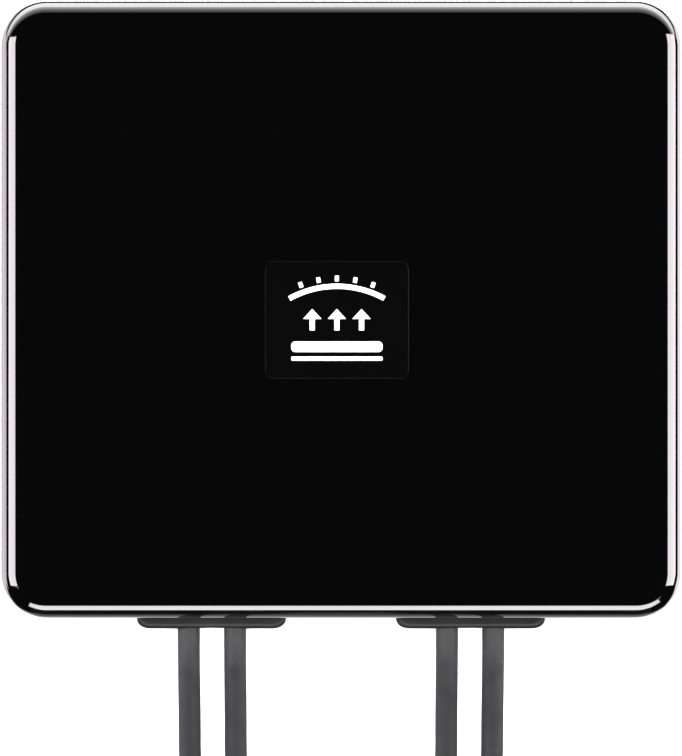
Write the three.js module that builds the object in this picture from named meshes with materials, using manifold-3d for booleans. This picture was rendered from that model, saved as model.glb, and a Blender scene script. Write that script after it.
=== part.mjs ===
// A flat panel antenna that lies on its adhesive face, with two rubber cable glands on one
// edge, two coax leads from each gland, and the spare length of each pair wound in a coil.
// Millimetres. +Z is the side that faces the sky, and the leads leave towards -Y.
import * as THREE from 'three';
import { mergeVertices } from 'three/addons/utils/BufferGeometryUtils.js';
import Module from 'manifold-3d';

const wasm = await Module();
wasm.setup();

// Housing
const BODY_WIDTH = 150;
const BODY_LENGTH = 136;
const BODY_TOP = 20;
const CORNER_RADIUS = 10.2;
const TOP_EDGE_RADIUS = 5;
const BASE_EDGE_RADIUS = 1.5;
const BASE_BOTTOM = 0.8;
const BASE_TOP = 7.9;
const SHADOW_GAP = 0.3;
const COVER_BOTTOM = BASE_TOP + SHADOW_GAP;
const WALL = 2.5;
const FLOOR_TOP = 3.6;
const ROOF = 2.4;
const CLEAR = 0.1;

// Cutting tools run this far past a face, and joined pieces sink this far into each other.
const OVERCUT = 1;
const SINK = 0.3;
const BEYOND = [-80, 80];

// Adhesive pad and label
const PAD_WIDTH = 116;
const PAD_LENGTH = 104;
const PAD_RADIUS = 8;
const PAD_THICKNESS = 1.1;
const PAD_MARGIN = 0.5;
const LABEL_WIDTH = 31.4;
const LABEL_LENGTH = 25.7;
const LABEL_RADIUS = 1.9;
const LABEL_THICKNESS = 0.15;
const LABEL_CENTRE = [-0.9, -2.3];

// Gasket in the wall's top
const GROOVE_WIDTH = 1.2;
const GROOVE_DEPTH = 0.8;
const GASKET_WIDTH = 1.0;

// Housing screws
const SCREW_X = 65;
const SCREW_Y = 58;
const SCREW_RADIUS = 1.5;
const SCREW_HEAD_RADIUS = 2.9;
const SCREW_HEAD_HEIGHT = 2;
const SCREW_RECESS_RADIUS = 1.1;
const SCREW_RECESS_DEPTH = 0.9;
const SCREW_END = 13;
const BOSS_RADIUS = 3.6;
const SCREW_HOLE_RADIUS = 1.8;
const COUNTERBORE_RADIUS = 3.3;
const COUNTERBORE_TOP = 3.2;

// Leads, glands and clamps
const LEAD_RADIUS = 2.475;
const LEAD_HEIGHT = 8;
const LEAD_PITCH = 10.3;
const BORE_RADIUS = 2.7;
const GLAND_X = 28.75;
const FLANGE_WIDTH = 33;
const FLANGE_PROUD = 2.65;
const FLANGE_BOTTOM = 3.9;
const FLANGE_TOP = 12.2;
const FLANGE_CORNER = [2.9, 2.0];
const NECK_WIDTH = 30;
const NECK_BOTTOM = 4.5;
const NECK_TOP = 11.5;
const NECK_CLEAR = 0.2;
const COLLAR_LIP = 1.2;
const COLLAR_THICKNESS = 1.9;
const MOUTH_RADIUS = 3.7;
const MOUTH_DEPTH = 0.9;
const CLAMP_WIDTH = 29;
const CLAMP_Y = [-60, -56];
const CLAMP_TOP = 12;
const CLAMP_SCREW_OFFSET = 11.3;
const CLAMP_HOLE_RADIUS = 1.5;
const CLAMP_SCREW_RADIUS = 1.2;
const CLAMP_SCREW_END = FLOOR_TOP + 1;
const CLAMP_SCREW_ROOM = 0.4;
const CLAMP_HEAD_RADIUS = 1.9;
const CLAMP_HEAD_HEIGHT = 1.6;

// Vent in the base
const VENT_Y = -60.5;
const VENT_RADIUS = 4.5;
const VENT_HOLE_RADIUS = 1.1;
const VENT_THICKNESS = 0.4;

// Boards and radiators
const BOARD_BOTTOM = 8.8;
const BOARD_THICKNESS = 1.0;
const POST_RADIUS = 2.3;
const STAKE_RADIUS = 1.1;
const STAKE_HOLE_RADIUS = 1.4;
const STAKE_TOP = 10.6;
const BOARD_CORNER = 2;
const PLATE_SIZE = 64;
const PLATE_THICKNESS = 0.6;
const PLATE_POST = 27;
const PATCH_SIZE = 25;
const PATCH_HEIGHT = 4;
const PATCH_ROOM = 0.6;
const PATCH_CORNER = 1;
const GNSS_BOARD_SIZE = 36;
const CAN_SIZE = 24;
const CAN_WALL = 0.5;
const CAN_BOTTOM = 4.4;
const FEED_X = 2.5;
const FEED_HOLE_RADIUS = 0.9;
const FEED_PIN_RADIUS = 0.5;
const FEED_HEAD_RADIUS = 1.3;
const FEED_HEAD_HEIGHT = 0.4;
const CELL_CENTRE = [54, 2];
const CELL_SIZE = [28, 92];
const CELL_POST = [11, 42];
const CELL_COPPER = { width: 18, length: 76, slots: 6, slotWidth: 2.4, reach: 11 };
const WIFI_CENTRE = [0, 54];
const WIFI_SIZE = [60, 16];
const WIFI_POST = [27, 0];
const WIFI_COPPER = { width: 10, length: 40, slots: 3, slotWidth: 1.6, reach: 6 };
const COPPER_THICKNESS = 0.3;
const INNER_LEAD_RADIUS = 1.5;

// Coils of the spare lead
const COIL_CENTRE = [58, -149];
const COIL_INNER = 20.4;
const COIL_OUTER = 44.6;
const COIL_BOTTOM = 1.0;
const COIL_TOP = 21.2;
const COIL_MARGIN = LEAD_RADIUS + 0.125;
const COIL_LIP = 2;
const TIE_WIDTH = 12;
const TIE_THICKNESS = 0.7;
const TIE_GAP = 0.3;
const TIE_BEND_RADIUS = 0.8;
const TIE_ANGLE = THREE.MathUtils.degToRad(-40);

// Where each lead's end leaves its coil: angle about the coil's centre, and radius there
const END_TURN_RADIUS = 25;
const END_TURN = THREE.MathUtils.degToRad(75);
const LEAD_ENDS = {
  outer: { angle: THREE.MathUtils.degToRad(-70), radius: 42.05 },
  inner: { angle: THREE.MathUtils.degToRad(110), radius: 44.6 },
};
const TAIL_STRAIGHT = 5.3;
const TAIL_START_TURN = 0.55;
const TAIL_HEIGHT = 24.05;
const PLUG_HEIGHT = 26.15;

// Plugs, as (radius, distance along) from the end of the lead: a sleeve, then a ferrule, a
// barrel, a neck that carries the nut, a flange that keeps it on, and the centre pin
const BOOT_PROFILE = [
  [0, 0.3], [2.7, 0.3], [2.9, 1], [3.1, 6], [3.6, 12.5], [3.6, 14], [0, 14],
];
const PLUG_PROFILE = [
  [0, 14.3], [3.1, 14.3], [3.1, 19], [3.7, 19.4], [3.7, 23.8], [2.5, 23.8], [2.5, 26.3],
  [3.0, 26.3], [3.0, 28.4], [2.2, 28.4], [2.2, 29], [0.46, 29], [0.46, 31.8], [0.2, 32.4],
  [0, 32.4],
];
const NUT_FLATS = 8;
const NUT_START = 24.4;
const NUT_LENGTH = 9;
const NUT_REAR_WALL = 1.6;
const NUT_HOLE_RADIUS = 2.8;
const NUT_SOCKET_RADIUS = 3.3;

// The stretch of each left-hand lead from its clamp to its coil; the right is its mirror image.
const OUTER_ROUTE = [
  [-33.9, -52, 8], [-33.9, -62, 8], [-33.9, -72, 7.95], [-33.9, -79, 7.2], [-33.9, -86, 5.3],
  [-33.9, -93, 3.3], [-33.9, -99, 2.52], [-33.57, -103.3, 2.6], [-33.1, -105.3, 2.75],
];
const INNER_ROUTE = [
  [-23.6, -52, 8], [-23.6, -62, 8], [-23.6, -72, 7.95], [-23.6, -79, 7.2], [-23.6, -86, 5.3],
  [-23.6, -93, 3.3], [-23.6, -99, 2.52], [-23.24, -105, 2.5], [-22.22, -111, 2.53],
  [-21.23, -115, 2.6],
];

// The cores inside the housing, from each clamped lead's end to its board
const CORE_ROUTES = [
  [[-33.9, -51.5, 8], [-33.9, -49.5, 8], [-37, -45.2, 7.2], [-42.5, -44.9, 6.8],
    [-49, -43.5, 6.6], [-53, -38, 6.6]],
  [[-23.6, -51.5, 8], [-23.6, -49.5, 8], [-23.2, -45, 7.3], [-21, -38, 6.2], [-15, -28, 5.9],
    [-9.5, -20, 5.9], [-8, -13.9, 5.9]],
  [[23.6, -51.5, 8], [23.6, -49.5, 8], [25, -45, 7.3], [29.4, -40, 6.6], [34, -34, 6.3],
    [35.8, -24, 6.2], [35.8, 0, 6.2], [35.8, 26, 6.2], [34, 38, 6.4], [29.5, 46, 6.7],
    [21, 50.5, 6.8]],
  [[33.9, -51.5, 8], [33.9, -49.5, 8], [37, -45.2, 7.2], [42.5, -44.9, 6.8],
    [49, -43.5, 6.6], [53, -38, 6.6]],
];

const MATERIALS = {
  glossBlack: { color: 0x050506, roughness: 0.06, metalness: 0 },
  matteBlack: { color: 0x17181a, roughness: 0.65, metalness: 0 },
  gasket: { color: 0x2b2b2d, roughness: 0.85, metalness: 0 },
  adhesive: { color: 0x3a3b3d, roughness: 0.9, metalness: 0 },
  label: { color: 0x0b0b0c, roughness: 0.45, metalness: 0 },
  rubber: { color: 0x2c2d2f, roughness: 0.7, metalness: 0 },
  jacket: { color: 0x1d1e20, roughness: 0.5, metalness: 0 },
  tie: { color: 0x141416, roughness: 0.95, metalness: 0 },
  membrane: { color: 0xe8e8e6, roughness: 0.8, metalness: 0 },
  steel: { color: 0xb9bbbe, roughness: 0.35, metalness: 1 },
  aluminium: { color: 0xc9ccd0, roughness: 0.4, metalness: 1 },
  tin: { color: 0xc4c6c4, roughness: 0.3, metalness: 1 },
  board: { color: 0x1f5a37, roughness: 0.5, metalness: 0 },
  copper: { color: 0xb87348, roughness: 0.35, metalness: 1 },
  ceramic: { color: 0xcfc6b4, roughness: 0.55, metalness: 0 },
  core: { color: 0xb4b4b0, roughness: 0.45, metalness: 1 },
  nickel: { color: 0xc8c6c0, roughness: 0.22, metalness: 1 },
  gold: { color: 0xd9b45c, roughness: 0.22, metalness: 1 },
};

for (const [name, look] of Object.entries(MATERIALS)) {
  MATERIALS[name] = new THREE.MeshStandardMaterial({ name, ...look });
}

// ---------- outlines ----------

function roundedRect(width, length, radius) {
  const x = width / 2 - radius;
  const y = length / 2 - radius;
  const quarter = Math.PI / 2;
  const shape = new THREE.Shape();
  shape.absarc(x, y, radius, 0, quarter, false);
  shape.absarc(-x, y, radius, quarter, 2 * quarter, false);
  shape.absarc(-x, -y, radius, 2 * quarter, 3 * quarter, false);
  shape.absarc(x, -y, radius, 3 * quarter, 4 * quarter, false);
  return shape;
}

function polygon(radius, sides, turn = 0) {
  const points = [];
  for (let i = 0; i < sides; i += 1) {
    const angle = turn + (2 * Math.PI * i) / sides;
    points.push(new THREE.Vector2(radius * Math.cos(angle), radius * Math.sin(angle)));
  }
  return new THREE.Shape(points);
}

// ---------- solids ----------

function prism(shape, bottom, top, curveSegments = 3) {
  const depth = top - bottom;
  const geometry = new THREE.ExtrudeGeometry(shape, { depth, bevelEnabled: false, curveSegments });
  return geometry.translate(0, 0, bottom);
}

function block(x, y, z) {
  const geometry = new THREE.BoxGeometry(x[1] - x[0], y[1] - y[0], z[1] - z[0]);
  return geometry.translate((x[0] + x[1]) / 2, (y[0] + y[1]) / 2, (z[0] + z[1]) / 2);
}

function post(radius, x, y, bottom, top, sides = 12) {
  return prism(polygon(radius, sides, Math.PI / sides), bottom, top).translate(x, y, 0);
}

// A rounded slab whose top and bottom edges are both rounded.
function softSlab(width, length, radius, bottom, top, edge, segments) {
  const inset = 2 * edge;
  const shape = roundedRect(width - inset, length - inset, radius - edge);
  const geometry = new THREE.ExtrudeGeometry(shape, {
    depth: top - bottom - inset,
    bevelThickness: edge,
    bevelSize: edge,
    bevelSegments: segments,
    curveSegments: 4,
  });
  return geometry.translate(0, 0, bottom + edge);
}

function ring(width, length, radius, inset, thickness, bottom, top) {
  const outside = inset * 2;
  const inside = outside + 2 * thickness;
  const shape = roundedRect(width - outside, length - outside, radius - inset);
  const hole = roundedRect(width - inside, length - inside, radius - inset - thickness);
  shape.holes.push(hole);
  return prism(shape, bottom, top);
}

// A solid turned about +Z from (radius, height) pairs that run upwards.
function turned(profile, segments = 16) {
  const points = profile.map(([radius, height]) => new THREE.Vector2(radius, height));
  return new THREE.LatheGeometry(points, segments).rotateX(Math.PI / 2);
}

function tube(points, radius, sides, steps) {
  const path = new THREE.CatmullRomCurve3(points.map((p) => new THREE.Vector3(...p)));
  return new THREE.ExtrudeGeometry(polygon(radius, sides), { extrudePath: path, steps });
}

// ---------- booleans ----------

function toSolid(geometry) {
  const bare = new THREE.BufferGeometry();
  bare.setAttribute('position', geometry.getAttribute('position'));
  bare.setIndex(geometry.getIndex());
  const merged = mergeVertices(bare, 1e-4);
  const index = merged.getIndex().array;
  const triangles = [];
  for (let i = 0; i < index.length; i += 3) {
    const [a, b, c] = [index[i], index[i + 1], index[i + 2]];
    if (a !== b && b !== c && c !== a) {
      triangles.push(a, b, c);
    }
  }
  const mesh = new wasm.Mesh({
    numProp: 3,
    vertProperties: new Float32Array(merged.getAttribute('position').array),
    triVerts: new Uint32Array(triangles),
  });
  return new wasm.Manifold(mesh);
}

function toGeometry(solid) {
  const mesh = solid.getMesh();
  const geometry = new THREE.BufferGeometry();
  geometry.setAttribute('position', new THREE.BufferAttribute(mesh.vertProperties, 3));
  geometry.setIndex(new THREE.BufferAttribute(mesh.triVerts, 1));
  return geometry;
}

function joined(first, ...others) {
  return others.reduce((sum, other) => sum.add(toSolid(other)), first);
}

function cut(first, ...tools) {
  return tools.reduce((rest, tool) => rest.subtract(toSolid(tool)), first);
}

// ---------- scene graph ----------

const antenna = new THREE.Group();

function place(name, geometry, material, parent = antenna) {
  const mesh = new THREE.Mesh(geometry, MATERIALS[material]);
  mesh.name = name;
  parent.add(mesh);
  return mesh;
}

function screwCorners() {
  const corners = [];
  for (const x of [-SCREW_X, SCREW_X]) {
    for (const y of [-SCREW_Y, SCREW_Y]) {
      corners.push([x, y]);
    }
  }
  return corners;
}

function postCorners(centre, offset) {
  const corners = [];
  for (const side of [-1, 1]) {
    const ends = offset[1] === 0 ? [0] : [-1, 1];
    for (const end of ends) {
      corners.push([centre[0] + side * offset[0], centre[1] + end * offset[1]]);
    }
  }
  return corners;
}

function boardPosts() {
  return [
    ...postCorners([0, 0], [PLATE_POST, PLATE_POST]),
    ...postCorners(CELL_CENTRE, CELL_POST),
    ...postCorners([-CELL_CENTRE[0], CELL_CENTRE[1]], CELL_POST),
    ...postCorners(WIFI_CENTRE, WIFI_POST),
  ];
}

// The through way of one lead, along Y, as a tool that cuts pieces around it.
function leadWay(x, yFrom, yTo) {
  const way = prism(polygon(BORE_RADIUS, 12, Math.PI / 12), 0, yTo - yFrom);
  return way.rotateX(-Math.PI / 2).translate(x, yFrom, LEAD_HEIGHT);
}

function leadPlaces(glandX) {
  return [glandX - LEAD_PITCH / 2, glandX + LEAD_PITCH / 2];
}

function glandNotch(glandX, bottom, top) {
  const reach = NECK_WIDTH / 2 + NECK_CLEAR;
  const edge = BODY_LENGTH / 2;
  const y = [-edge - OVERCUT, -edge + WALL + OVERCUT];
  return block([glandX - reach, glandX + reach], y, [bottom, top]);
}

function addCover() {
  const shell = softSlab(
    BODY_WIDTH, BODY_LENGTH, CORNER_RADIUS, -BODY_TOP, BODY_TOP, TOP_EDGE_RADIUS, 6,
  );
  const hollow = softSlab(
    BODY_WIDTH - 2 * WALL, BODY_LENGTH - 2 * WALL, CORNER_RADIUS - WALL,
    -BODY_TOP, BODY_TOP - ROOF, TOP_EDGE_RADIUS - WALL, 3,
  );
  const below = block(BEYOND, BEYOND, [-BODY_TOP - OVERCUT, COVER_BOTTOM]);
  let cover = cut(toSolid(shell), below, hollow);
  for (const [x, y] of screwCorners()) {
    cover = joined(cover, post(BOSS_RADIUS, x, y, COVER_BOTTOM, BODY_TOP - ROOF + SINK));
    cover = cut(cover, post(SCREW_HOLE_RADIUS, x, y, COVER_BOTTOM - OVERCUT, SCREW_END + 1));
  }
  for (const side of [-1, 1]) {
    cover = cut(cover, glandNotch(side * GLAND_X, COVER_BOTTOM - OVERCUT, NECK_TOP + NECK_CLEAR));
  }
  place('top_cover', toGeometry(cover), 'glossBlack');
}

function addBase() {
  const edge = BASE_EDGE_RADIUS;
  const slab = softSlab(
    BODY_WIDTH, BODY_LENGTH, CORNER_RADIUS, BASE_BOTTOM, BASE_TOP + 2 * edge, edge, 3,
  );
  const above = block(BEYOND, BEYOND, [BASE_TOP, BASE_TOP + 2 * edge + OVERCUT]);
  const hollowShape = roundedRect(
    BODY_WIDTH - 2 * WALL, BODY_LENGTH - 2 * WALL, CORNER_RADIUS - WALL,
  );
  const padShape = roundedRect(
    PAD_WIDTH + 2 * PAD_MARGIN, PAD_LENGTH + 2 * PAD_MARGIN, PAD_RADIUS + PAD_MARGIN,
  );
  const grooveInset = (WALL - GROOVE_WIDTH) / 2;
  const groove = ring(
    BODY_WIDTH, BODY_LENGTH, CORNER_RADIUS, grooveInset, GROOVE_WIDTH,
    BASE_TOP - GROOVE_DEPTH, BASE_TOP + OVERCUT,
  );
  let base = cut(
    toSolid(slab), above, prism(hollowShape, FLOOR_TOP, BASE_TOP + OVERCUT),
    prism(padShape, 0, PAD_THICKNESS + CLEAR), groove,
    post(VENT_HOLE_RADIUS, 0, VENT_Y, 0, FLOOR_TOP + OVERCUT),
  );
  for (const [x, y] of screwCorners()) {
    base = joined(base, post(BOSS_RADIUS, x, y, FLOOR_TOP - SINK, BASE_TOP));
    base = cut(base, post(SCREW_HOLE_RADIUS, x, y, 0, BASE_TOP + OVERCUT));
    base = cut(base, post(COUNTERBORE_RADIUS, x, y, 0, COUNTERBORE_TOP));
  }
  for (const [x, y] of boardPosts()) {
    base = joined(base, post(POST_RADIUS, x, y, FLOOR_TOP - SINK, BOARD_BOTTOM - CLEAR, 6));
    base = joined(base, post(STAKE_RADIUS, x, y, BOARD_BOTTOM - CLEAR - SINK, STAKE_TOP, 5));
  }
  for (const side of [-1, 1]) {
    base = cut(base, glandNotch(side * GLAND_X, NECK_BOTTOM - NECK_CLEAR, BASE_TOP + OVERCUT));
    base = addCradle(base, side * GLAND_X);
  }
  place('base_tray', toGeometry(base), 'matteBlack');
}

// The lower half of a cable clamp, standing on the base's floor.
function addCradle(base, glandX) {
  const half = CLAMP_WIDTH / 2;
  const height = [FLOOR_TOP - SINK, LEAD_HEIGHT - SHADOW_GAP];
  let result = joined(base, block([glandX - half, glandX + half], CLAMP_Y, height));
  for (const x of leadPlaces(glandX)) {
    result = cut(result, leadWay(x, CLAMP_Y[0] - OVERCUT, CLAMP_Y[1] + OVERCUT));
  }
  for (const x of clampScrewPlaces(glandX)) {
    const z = [CLAMP_SCREW_END - CLAMP_SCREW_ROOM, LEAD_HEIGHT + OVERCUT];
    result = cut(result, post(CLAMP_HOLE_RADIUS, x, clampMiddle(), ...z, 8));
  }
  return result;
}

function clampMiddle() {
  return (CLAMP_Y[0] + CLAMP_Y[1]) / 2;
}

function clampScrewPlaces(glandX) {
  return [glandX - CLAMP_SCREW_OFFSET, glandX + CLAMP_SCREW_OFFSET];
}

// The gasket lies in the base's groove in two lengths, which end at the glands.
function addGaskets() {
  const inset = (WALL - GASKET_WIDTH) / 2;
  const whole = toSolid(ring(
    BODY_WIDTH, BODY_LENGTH, CORNER_RADIUS, inset, GASKET_WIDTH,
    BASE_TOP - GROOVE_DEPTH + CLEAR, COVER_BOTTOM - CLEAR,
  ));
  const outerEnd = GLAND_X + NECK_WIDTH / 2 + 2 * NECK_CLEAR;
  const innerEnd = GLAND_X - NECK_WIDTH / 2 - 2 * NECK_CLEAR;
  const front = [-BODY_LENGTH, -BODY_LENGTH / 2 + 2 * WALL];
  const main = cut(whole, block([-outerEnd, outerEnd], front, [0, BODY_TOP]));
  const bridge = whole.intersect(toSolid(block([-innerEnd, innerEnd], front, [0, BODY_TOP])));
  place('gasket_main', toGeometry(main), 'gasket');
  place('gasket_bridge', toGeometry(bridge), 'gasket');
}

function addPadLabelAndVent() {
  const padShape = roundedRect(PAD_WIDTH, PAD_LENGTH, PAD_RADIUS);
  place('adhesive_pad', prism(padShape, 0, PAD_THICKNESS), 'adhesive');
  const labelShape = roundedRect(LABEL_WIDTH, LABEL_LENGTH, LABEL_RADIUS);
  const label = place('sky_label', prism(labelShape, 0, LABEL_THICKNESS), 'label');
  label.position.set(...LABEL_CENTRE, BODY_TOP + CLEAR / 2);
  const ventBottom = FLOOR_TOP + CLEAR;
  const vent = post(VENT_RADIUS, 0, VENT_Y, ventBottom, ventBottom + VENT_THICKNESS, 20);
  place('vent_membrane', vent, 'membrane');
}

function addHousingScrews() {
  const headBottom = COUNTERBORE_TOP - CLEAR - SCREW_HEAD_HEIGHT;
  const headTop = COUNTERBORE_TOP - CLEAR;
  const recessTop = headBottom + SCREW_RECESS_DEPTH;
  const profile = [
    [0, recessTop], [SCREW_RECESS_RADIUS, recessTop], [SCREW_RECESS_RADIUS + 0.2, headBottom],
    [SCREW_HEAD_RADIUS - 0.4, headBottom], [SCREW_HEAD_RADIUS, headBottom + 0.5],
    [SCREW_HEAD_RADIUS, headTop], [SCREW_RADIUS, headTop], [SCREW_RADIUS, SCREW_END - 1],
    [SCREW_RADIUS - 0.9, SCREW_END], [0, SCREW_END],
  ];
  screwCorners().forEach(([x, y], i) => {
    const screw = place(`housing_screw_${i + 1}`, turned(profile, 9), 'steel');
    screw.position.set(x, y, 0);
  });
}

// ---------- glands and clamps ----------

function flangeOutline() {
  const half = FLANGE_WIDTH / 2;
  const [across, deep] = FLANGE_CORNER;
  const back = -BODY_LENGTH / 2 - NECK_CLEAR;
  const front = -BODY_LENGTH / 2 - FLANGE_PROUD;
  const shape = new THREE.Shape();
  shape.moveTo(-half, back);
  shape.lineTo(-half, front + deep);
  shape.absellipse(-half + across, front + deep, across, deep, Math.PI, 1.5 * Math.PI, false);
  shape.lineTo(half - across, front);
  shape.absellipse(half - across, front + deep, across, deep, 1.5 * Math.PI, 2 * Math.PI, false);
  shape.lineTo(half, back);
  return shape;
}

function mouthTool() {
  const half = LEAD_PITCH / 2;
  const shape = new THREE.Shape();
  shape.absarc(half, 0, MOUTH_RADIUS, -Math.PI / 2, Math.PI / 2, false);
  shape.absarc(-half, 0, MOUTH_RADIUS, Math.PI / 2, 1.5 * Math.PI, false);
  const front = -BODY_LENGTH / 2 - FLANGE_PROUD;
  const tool = prism(shape, -OVERCUT, MOUTH_DEPTH).rotateX(-Math.PI / 2);
  return tool.translate(0, front, LEAD_HEIGHT);
}

function addGland(name, glandX) {
  const wallFace = -BODY_LENGTH / 2;
  const neckHalf = NECK_WIDTH / 2;
  const backFace = wallFace + WALL + SHADOW_GAP;
  const backY = [backFace, backFace + COLLAR_THICKNESS];
  const flange = prism(flangeOutline(), FLANGE_BOTTOM, FLANGE_TOP);
  const neckY = [wallFace - NECK_CLEAR - SINK, backFace + SINK];
  const neck = block([-neckHalf, neckHalf], neckY, [NECK_BOTTOM, NECK_TOP]);
  const collarHalf = neckHalf + COLLAR_LIP;
  const collar = block([-collarHalf, collarHalf], backY, [FLANGE_BOTTOM, FLANGE_TOP]);
  let gland = joined(toSolid(flange), neck, collar);
  gland = cut(gland, mouthTool());
  for (const x of leadPlaces(0)) {
    gland = cut(gland, leadWay(x, wallFace - FLANGE_PROUD - OVERCUT, backY[1] + OVERCUT));
  }
  place(name, toGeometry(gland), 'rubber').position.set(glandX, 0, 0);
}

function addClamp(name, glandX) {
  const half = CLAMP_WIDTH / 2;
  const height = [LEAD_HEIGHT + SHADOW_GAP, CLAMP_TOP];
  let clamp = toSolid(block([-half, half], CLAMP_Y, height));
  for (const x of leadPlaces(0)) {
    clamp = cut(clamp, leadWay(x, CLAMP_Y[0] - OVERCUT, CLAMP_Y[1] + OVERCUT));
  }
  for (const x of clampScrewPlaces(0)) {
    const z = [LEAD_HEIGHT, CLAMP_TOP + OVERCUT];
    clamp = cut(clamp, post(CLAMP_HOLE_RADIUS, x, clampMiddle(), ...z, 8));
  }
  place(name, toGeometry(clamp), 'matteBlack').position.set(glandX, 0, 0);
}

function addClampScrews() {
  const head = CLAMP_TOP + CLEAR;
  const headTop = head + CLAMP_HEAD_HEIGHT;
  const profile = [
    [0, CLAMP_SCREW_END], [CLAMP_SCREW_RADIUS, CLAMP_SCREW_END + CLAMP_SCREW_RADIUS],
    [CLAMP_SCREW_RADIUS, head], [CLAMP_HEAD_RADIUS, head], [CLAMP_HEAD_RADIUS, headTop - 0.4],
    [CLAMP_HEAD_RADIUS - 0.6, headTop], [0, headTop],
  ];
  const places = [...clampScrewPlaces(-GLAND_X), ...clampScrewPlaces(GLAND_X)];
  places.forEach((x, i) => {
    place(`clamp_screw_${i + 1}`, turned(profile, 8), 'steel').position.set(x, clampMiddle(), 0);
  });
}

// ---------- electronics ----------

// A board at the boards' height, with a hole round each post's stake.
function boardWithHoles(centre, size, posts, thickness) {
  const shape = roundedRect(size[0], size[1], BOARD_CORNER);
  const bottom = BOARD_BOTTOM;
  const top = bottom + thickness;
  let board = toSolid(prism(shape, bottom, top, 1).translate(centre[0], centre[1], 0));
  for (const [x, y] of posts) {
    board = cut(board, post(STAKE_HOLE_RADIUS, x, y, bottom - OVERCUT, top + OVERCUT, 8));
  }
  return board;
}

function addGnss() {
  const posts = postCorners([0, 0], [PLATE_POST, PLATE_POST]);
  const window = PATCH_SIZE / 2 + PATCH_ROOM;
  const tall = [BOARD_BOTTOM - OVERCUT, BOARD_BOTTOM + PLATE_THICKNESS + OVERCUT];
  const plate = cut(
    boardWithHoles([0, 0], [PLATE_SIZE, PLATE_SIZE], posts, PLATE_THICKNESS),
    block([-window, window], [-window, window], tall),
  );
  place('gnss_ground_plate', toGeometry(plate), 'aluminium');

  const boardTop = BOARD_BOTTOM - CLEAR;
  const boardBottom = boardTop - BOARD_THICKNESS;
  const feedHole = post(FEED_HOLE_RADIUS, FEED_X, 0, 0, BODY_TOP, 8);
  const boardShape = roundedRect(GNSS_BOARD_SIZE, GNSS_BOARD_SIZE, BOARD_CORNER);
  const board = cut(toSolid(prism(boardShape, boardBottom, boardTop, 1)), feedHole);
  place('gnss_board', toGeometry(board), 'board');

  const canHalf = CAN_SIZE / 2;
  const inner = canHalf - CAN_WALL;
  const canTop = boardBottom - CLEAR;
  const can = cut(
    toSolid(block([-canHalf, canHalf], [-canHalf, canHalf], [CAN_BOTTOM, canTop])),
    block([-inner, inner], [-inner, inner], [CAN_BOTTOM + CAN_WALL, canTop + OVERCUT]),
  );
  place('gnss_shield_can', toGeometry(can), 'tin');

  const patchShape = roundedRect(PATCH_SIZE, PATCH_SIZE, PATCH_CORNER);
  const patchTop = BOARD_BOTTOM + PATCH_HEIGHT;
  const patch = cut(toSolid(prism(patchShape, BOARD_BOTTOM, patchTop, 1)), feedHole);
  place('gnss_patch', toGeometry(patch), 'ceramic');

  const head = patchTop + CLEAR;
  const pinProfile = [
    [0, boardBottom + CLEAR], [FEED_PIN_RADIUS, boardBottom + CLEAR], [FEED_PIN_RADIUS, head],
    [FEED_HEAD_RADIUS, head], [FEED_HEAD_RADIUS - 0.2, head + FEED_HEAD_HEIGHT],
    [0, head + FEED_HEAD_HEIGHT],
  ];
  place('gnss_feed_pin', turned(pinProfile, 10), 'tin').position.set(FEED_X, 0, 0);
}

// A copper plate with slots that run in from alternate sides.
function slottedPlate({ width, length, slots, slotWidth, reach }) {
  const shape = new THREE.Shape();
  const half = width / 2;
  const step = length / (slots + 1);
  const inner = half - reach;
  shape.moveTo(-half, -length / 2);
  shape.lineTo(half, -length / 2);
  for (let i = 1; i <= slots; i += 2) {
    const y = -length / 2 + i * step;
    shape.lineTo(half, y - slotWidth / 2);
    shape.lineTo(inner, y - slotWidth / 2);
    shape.lineTo(inner, y + slotWidth / 2);
    shape.lineTo(half, y + slotWidth / 2);
  }
  shape.lineTo(half, length / 2);
  shape.lineTo(-half, length / 2);
  for (let i = slots - (slots % 2); i >= 2; i -= 2) {
    const y = -length / 2 + i * step;
    shape.lineTo(-half, y + slotWidth / 2);
    shape.lineTo(-inner, y + slotWidth / 2);
    shape.lineTo(-inner, y - slotWidth / 2);
    shape.lineTo(-half, y - slotWidth / 2);
  }
  return shape;
}

function addCellular(name, side) {
  const centre = [side * CELL_CENTRE[0], CELL_CENTRE[1]];
  const posts = postCorners(centre, CELL_POST);
  const board = boardWithHoles(centre, CELL_SIZE, posts, BOARD_THICKNESS);
  place(`cellular_board_${name}`, toGeometry(board), 'board');
  const copperBottom = BOARD_BOTTOM + BOARD_THICKNESS + CLEAR;
  const copper = prism(slottedPlate(CELL_COPPER), 0, COPPER_THICKNESS);
  const radiator = place(`cellular_radiator_${name}`, copper, 'copper');
  radiator.position.set(centre[0], centre[1], copperBottom);
}

function addWifi() {
  const posts = postCorners(WIFI_CENTRE, WIFI_POST);
  const board = boardWithHoles(WIFI_CENTRE, WIFI_SIZE, posts, BOARD_THICKNESS);
  place('wifi_board', toGeometry(board), 'board');
  const copperBottom = BOARD_BOTTOM + BOARD_THICKNESS + CLEAR;
  const copper = prism(slottedPlate(WIFI_COPPER), 0, COPPER_THICKNESS);
  const radiator = place('wifi_radiator', copper.rotateZ(Math.PI / 2), 'copper');
  radiator.position.set(...WIFI_CENTRE, copperBottom);
}

function addCores() {
  CORE_ROUTES.forEach((route, i) => {
    place(`inner_lead_${i + 1}`, tube(route, INNER_LEAD_RADIUS, 8, 2 * route.length), 'core');
  });
}

// ---------- leads, coils and plugs ----------

function mirrored(route, side) {
  return route.map(([x, y, z]) => [-side * x, y, z]);
}

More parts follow.
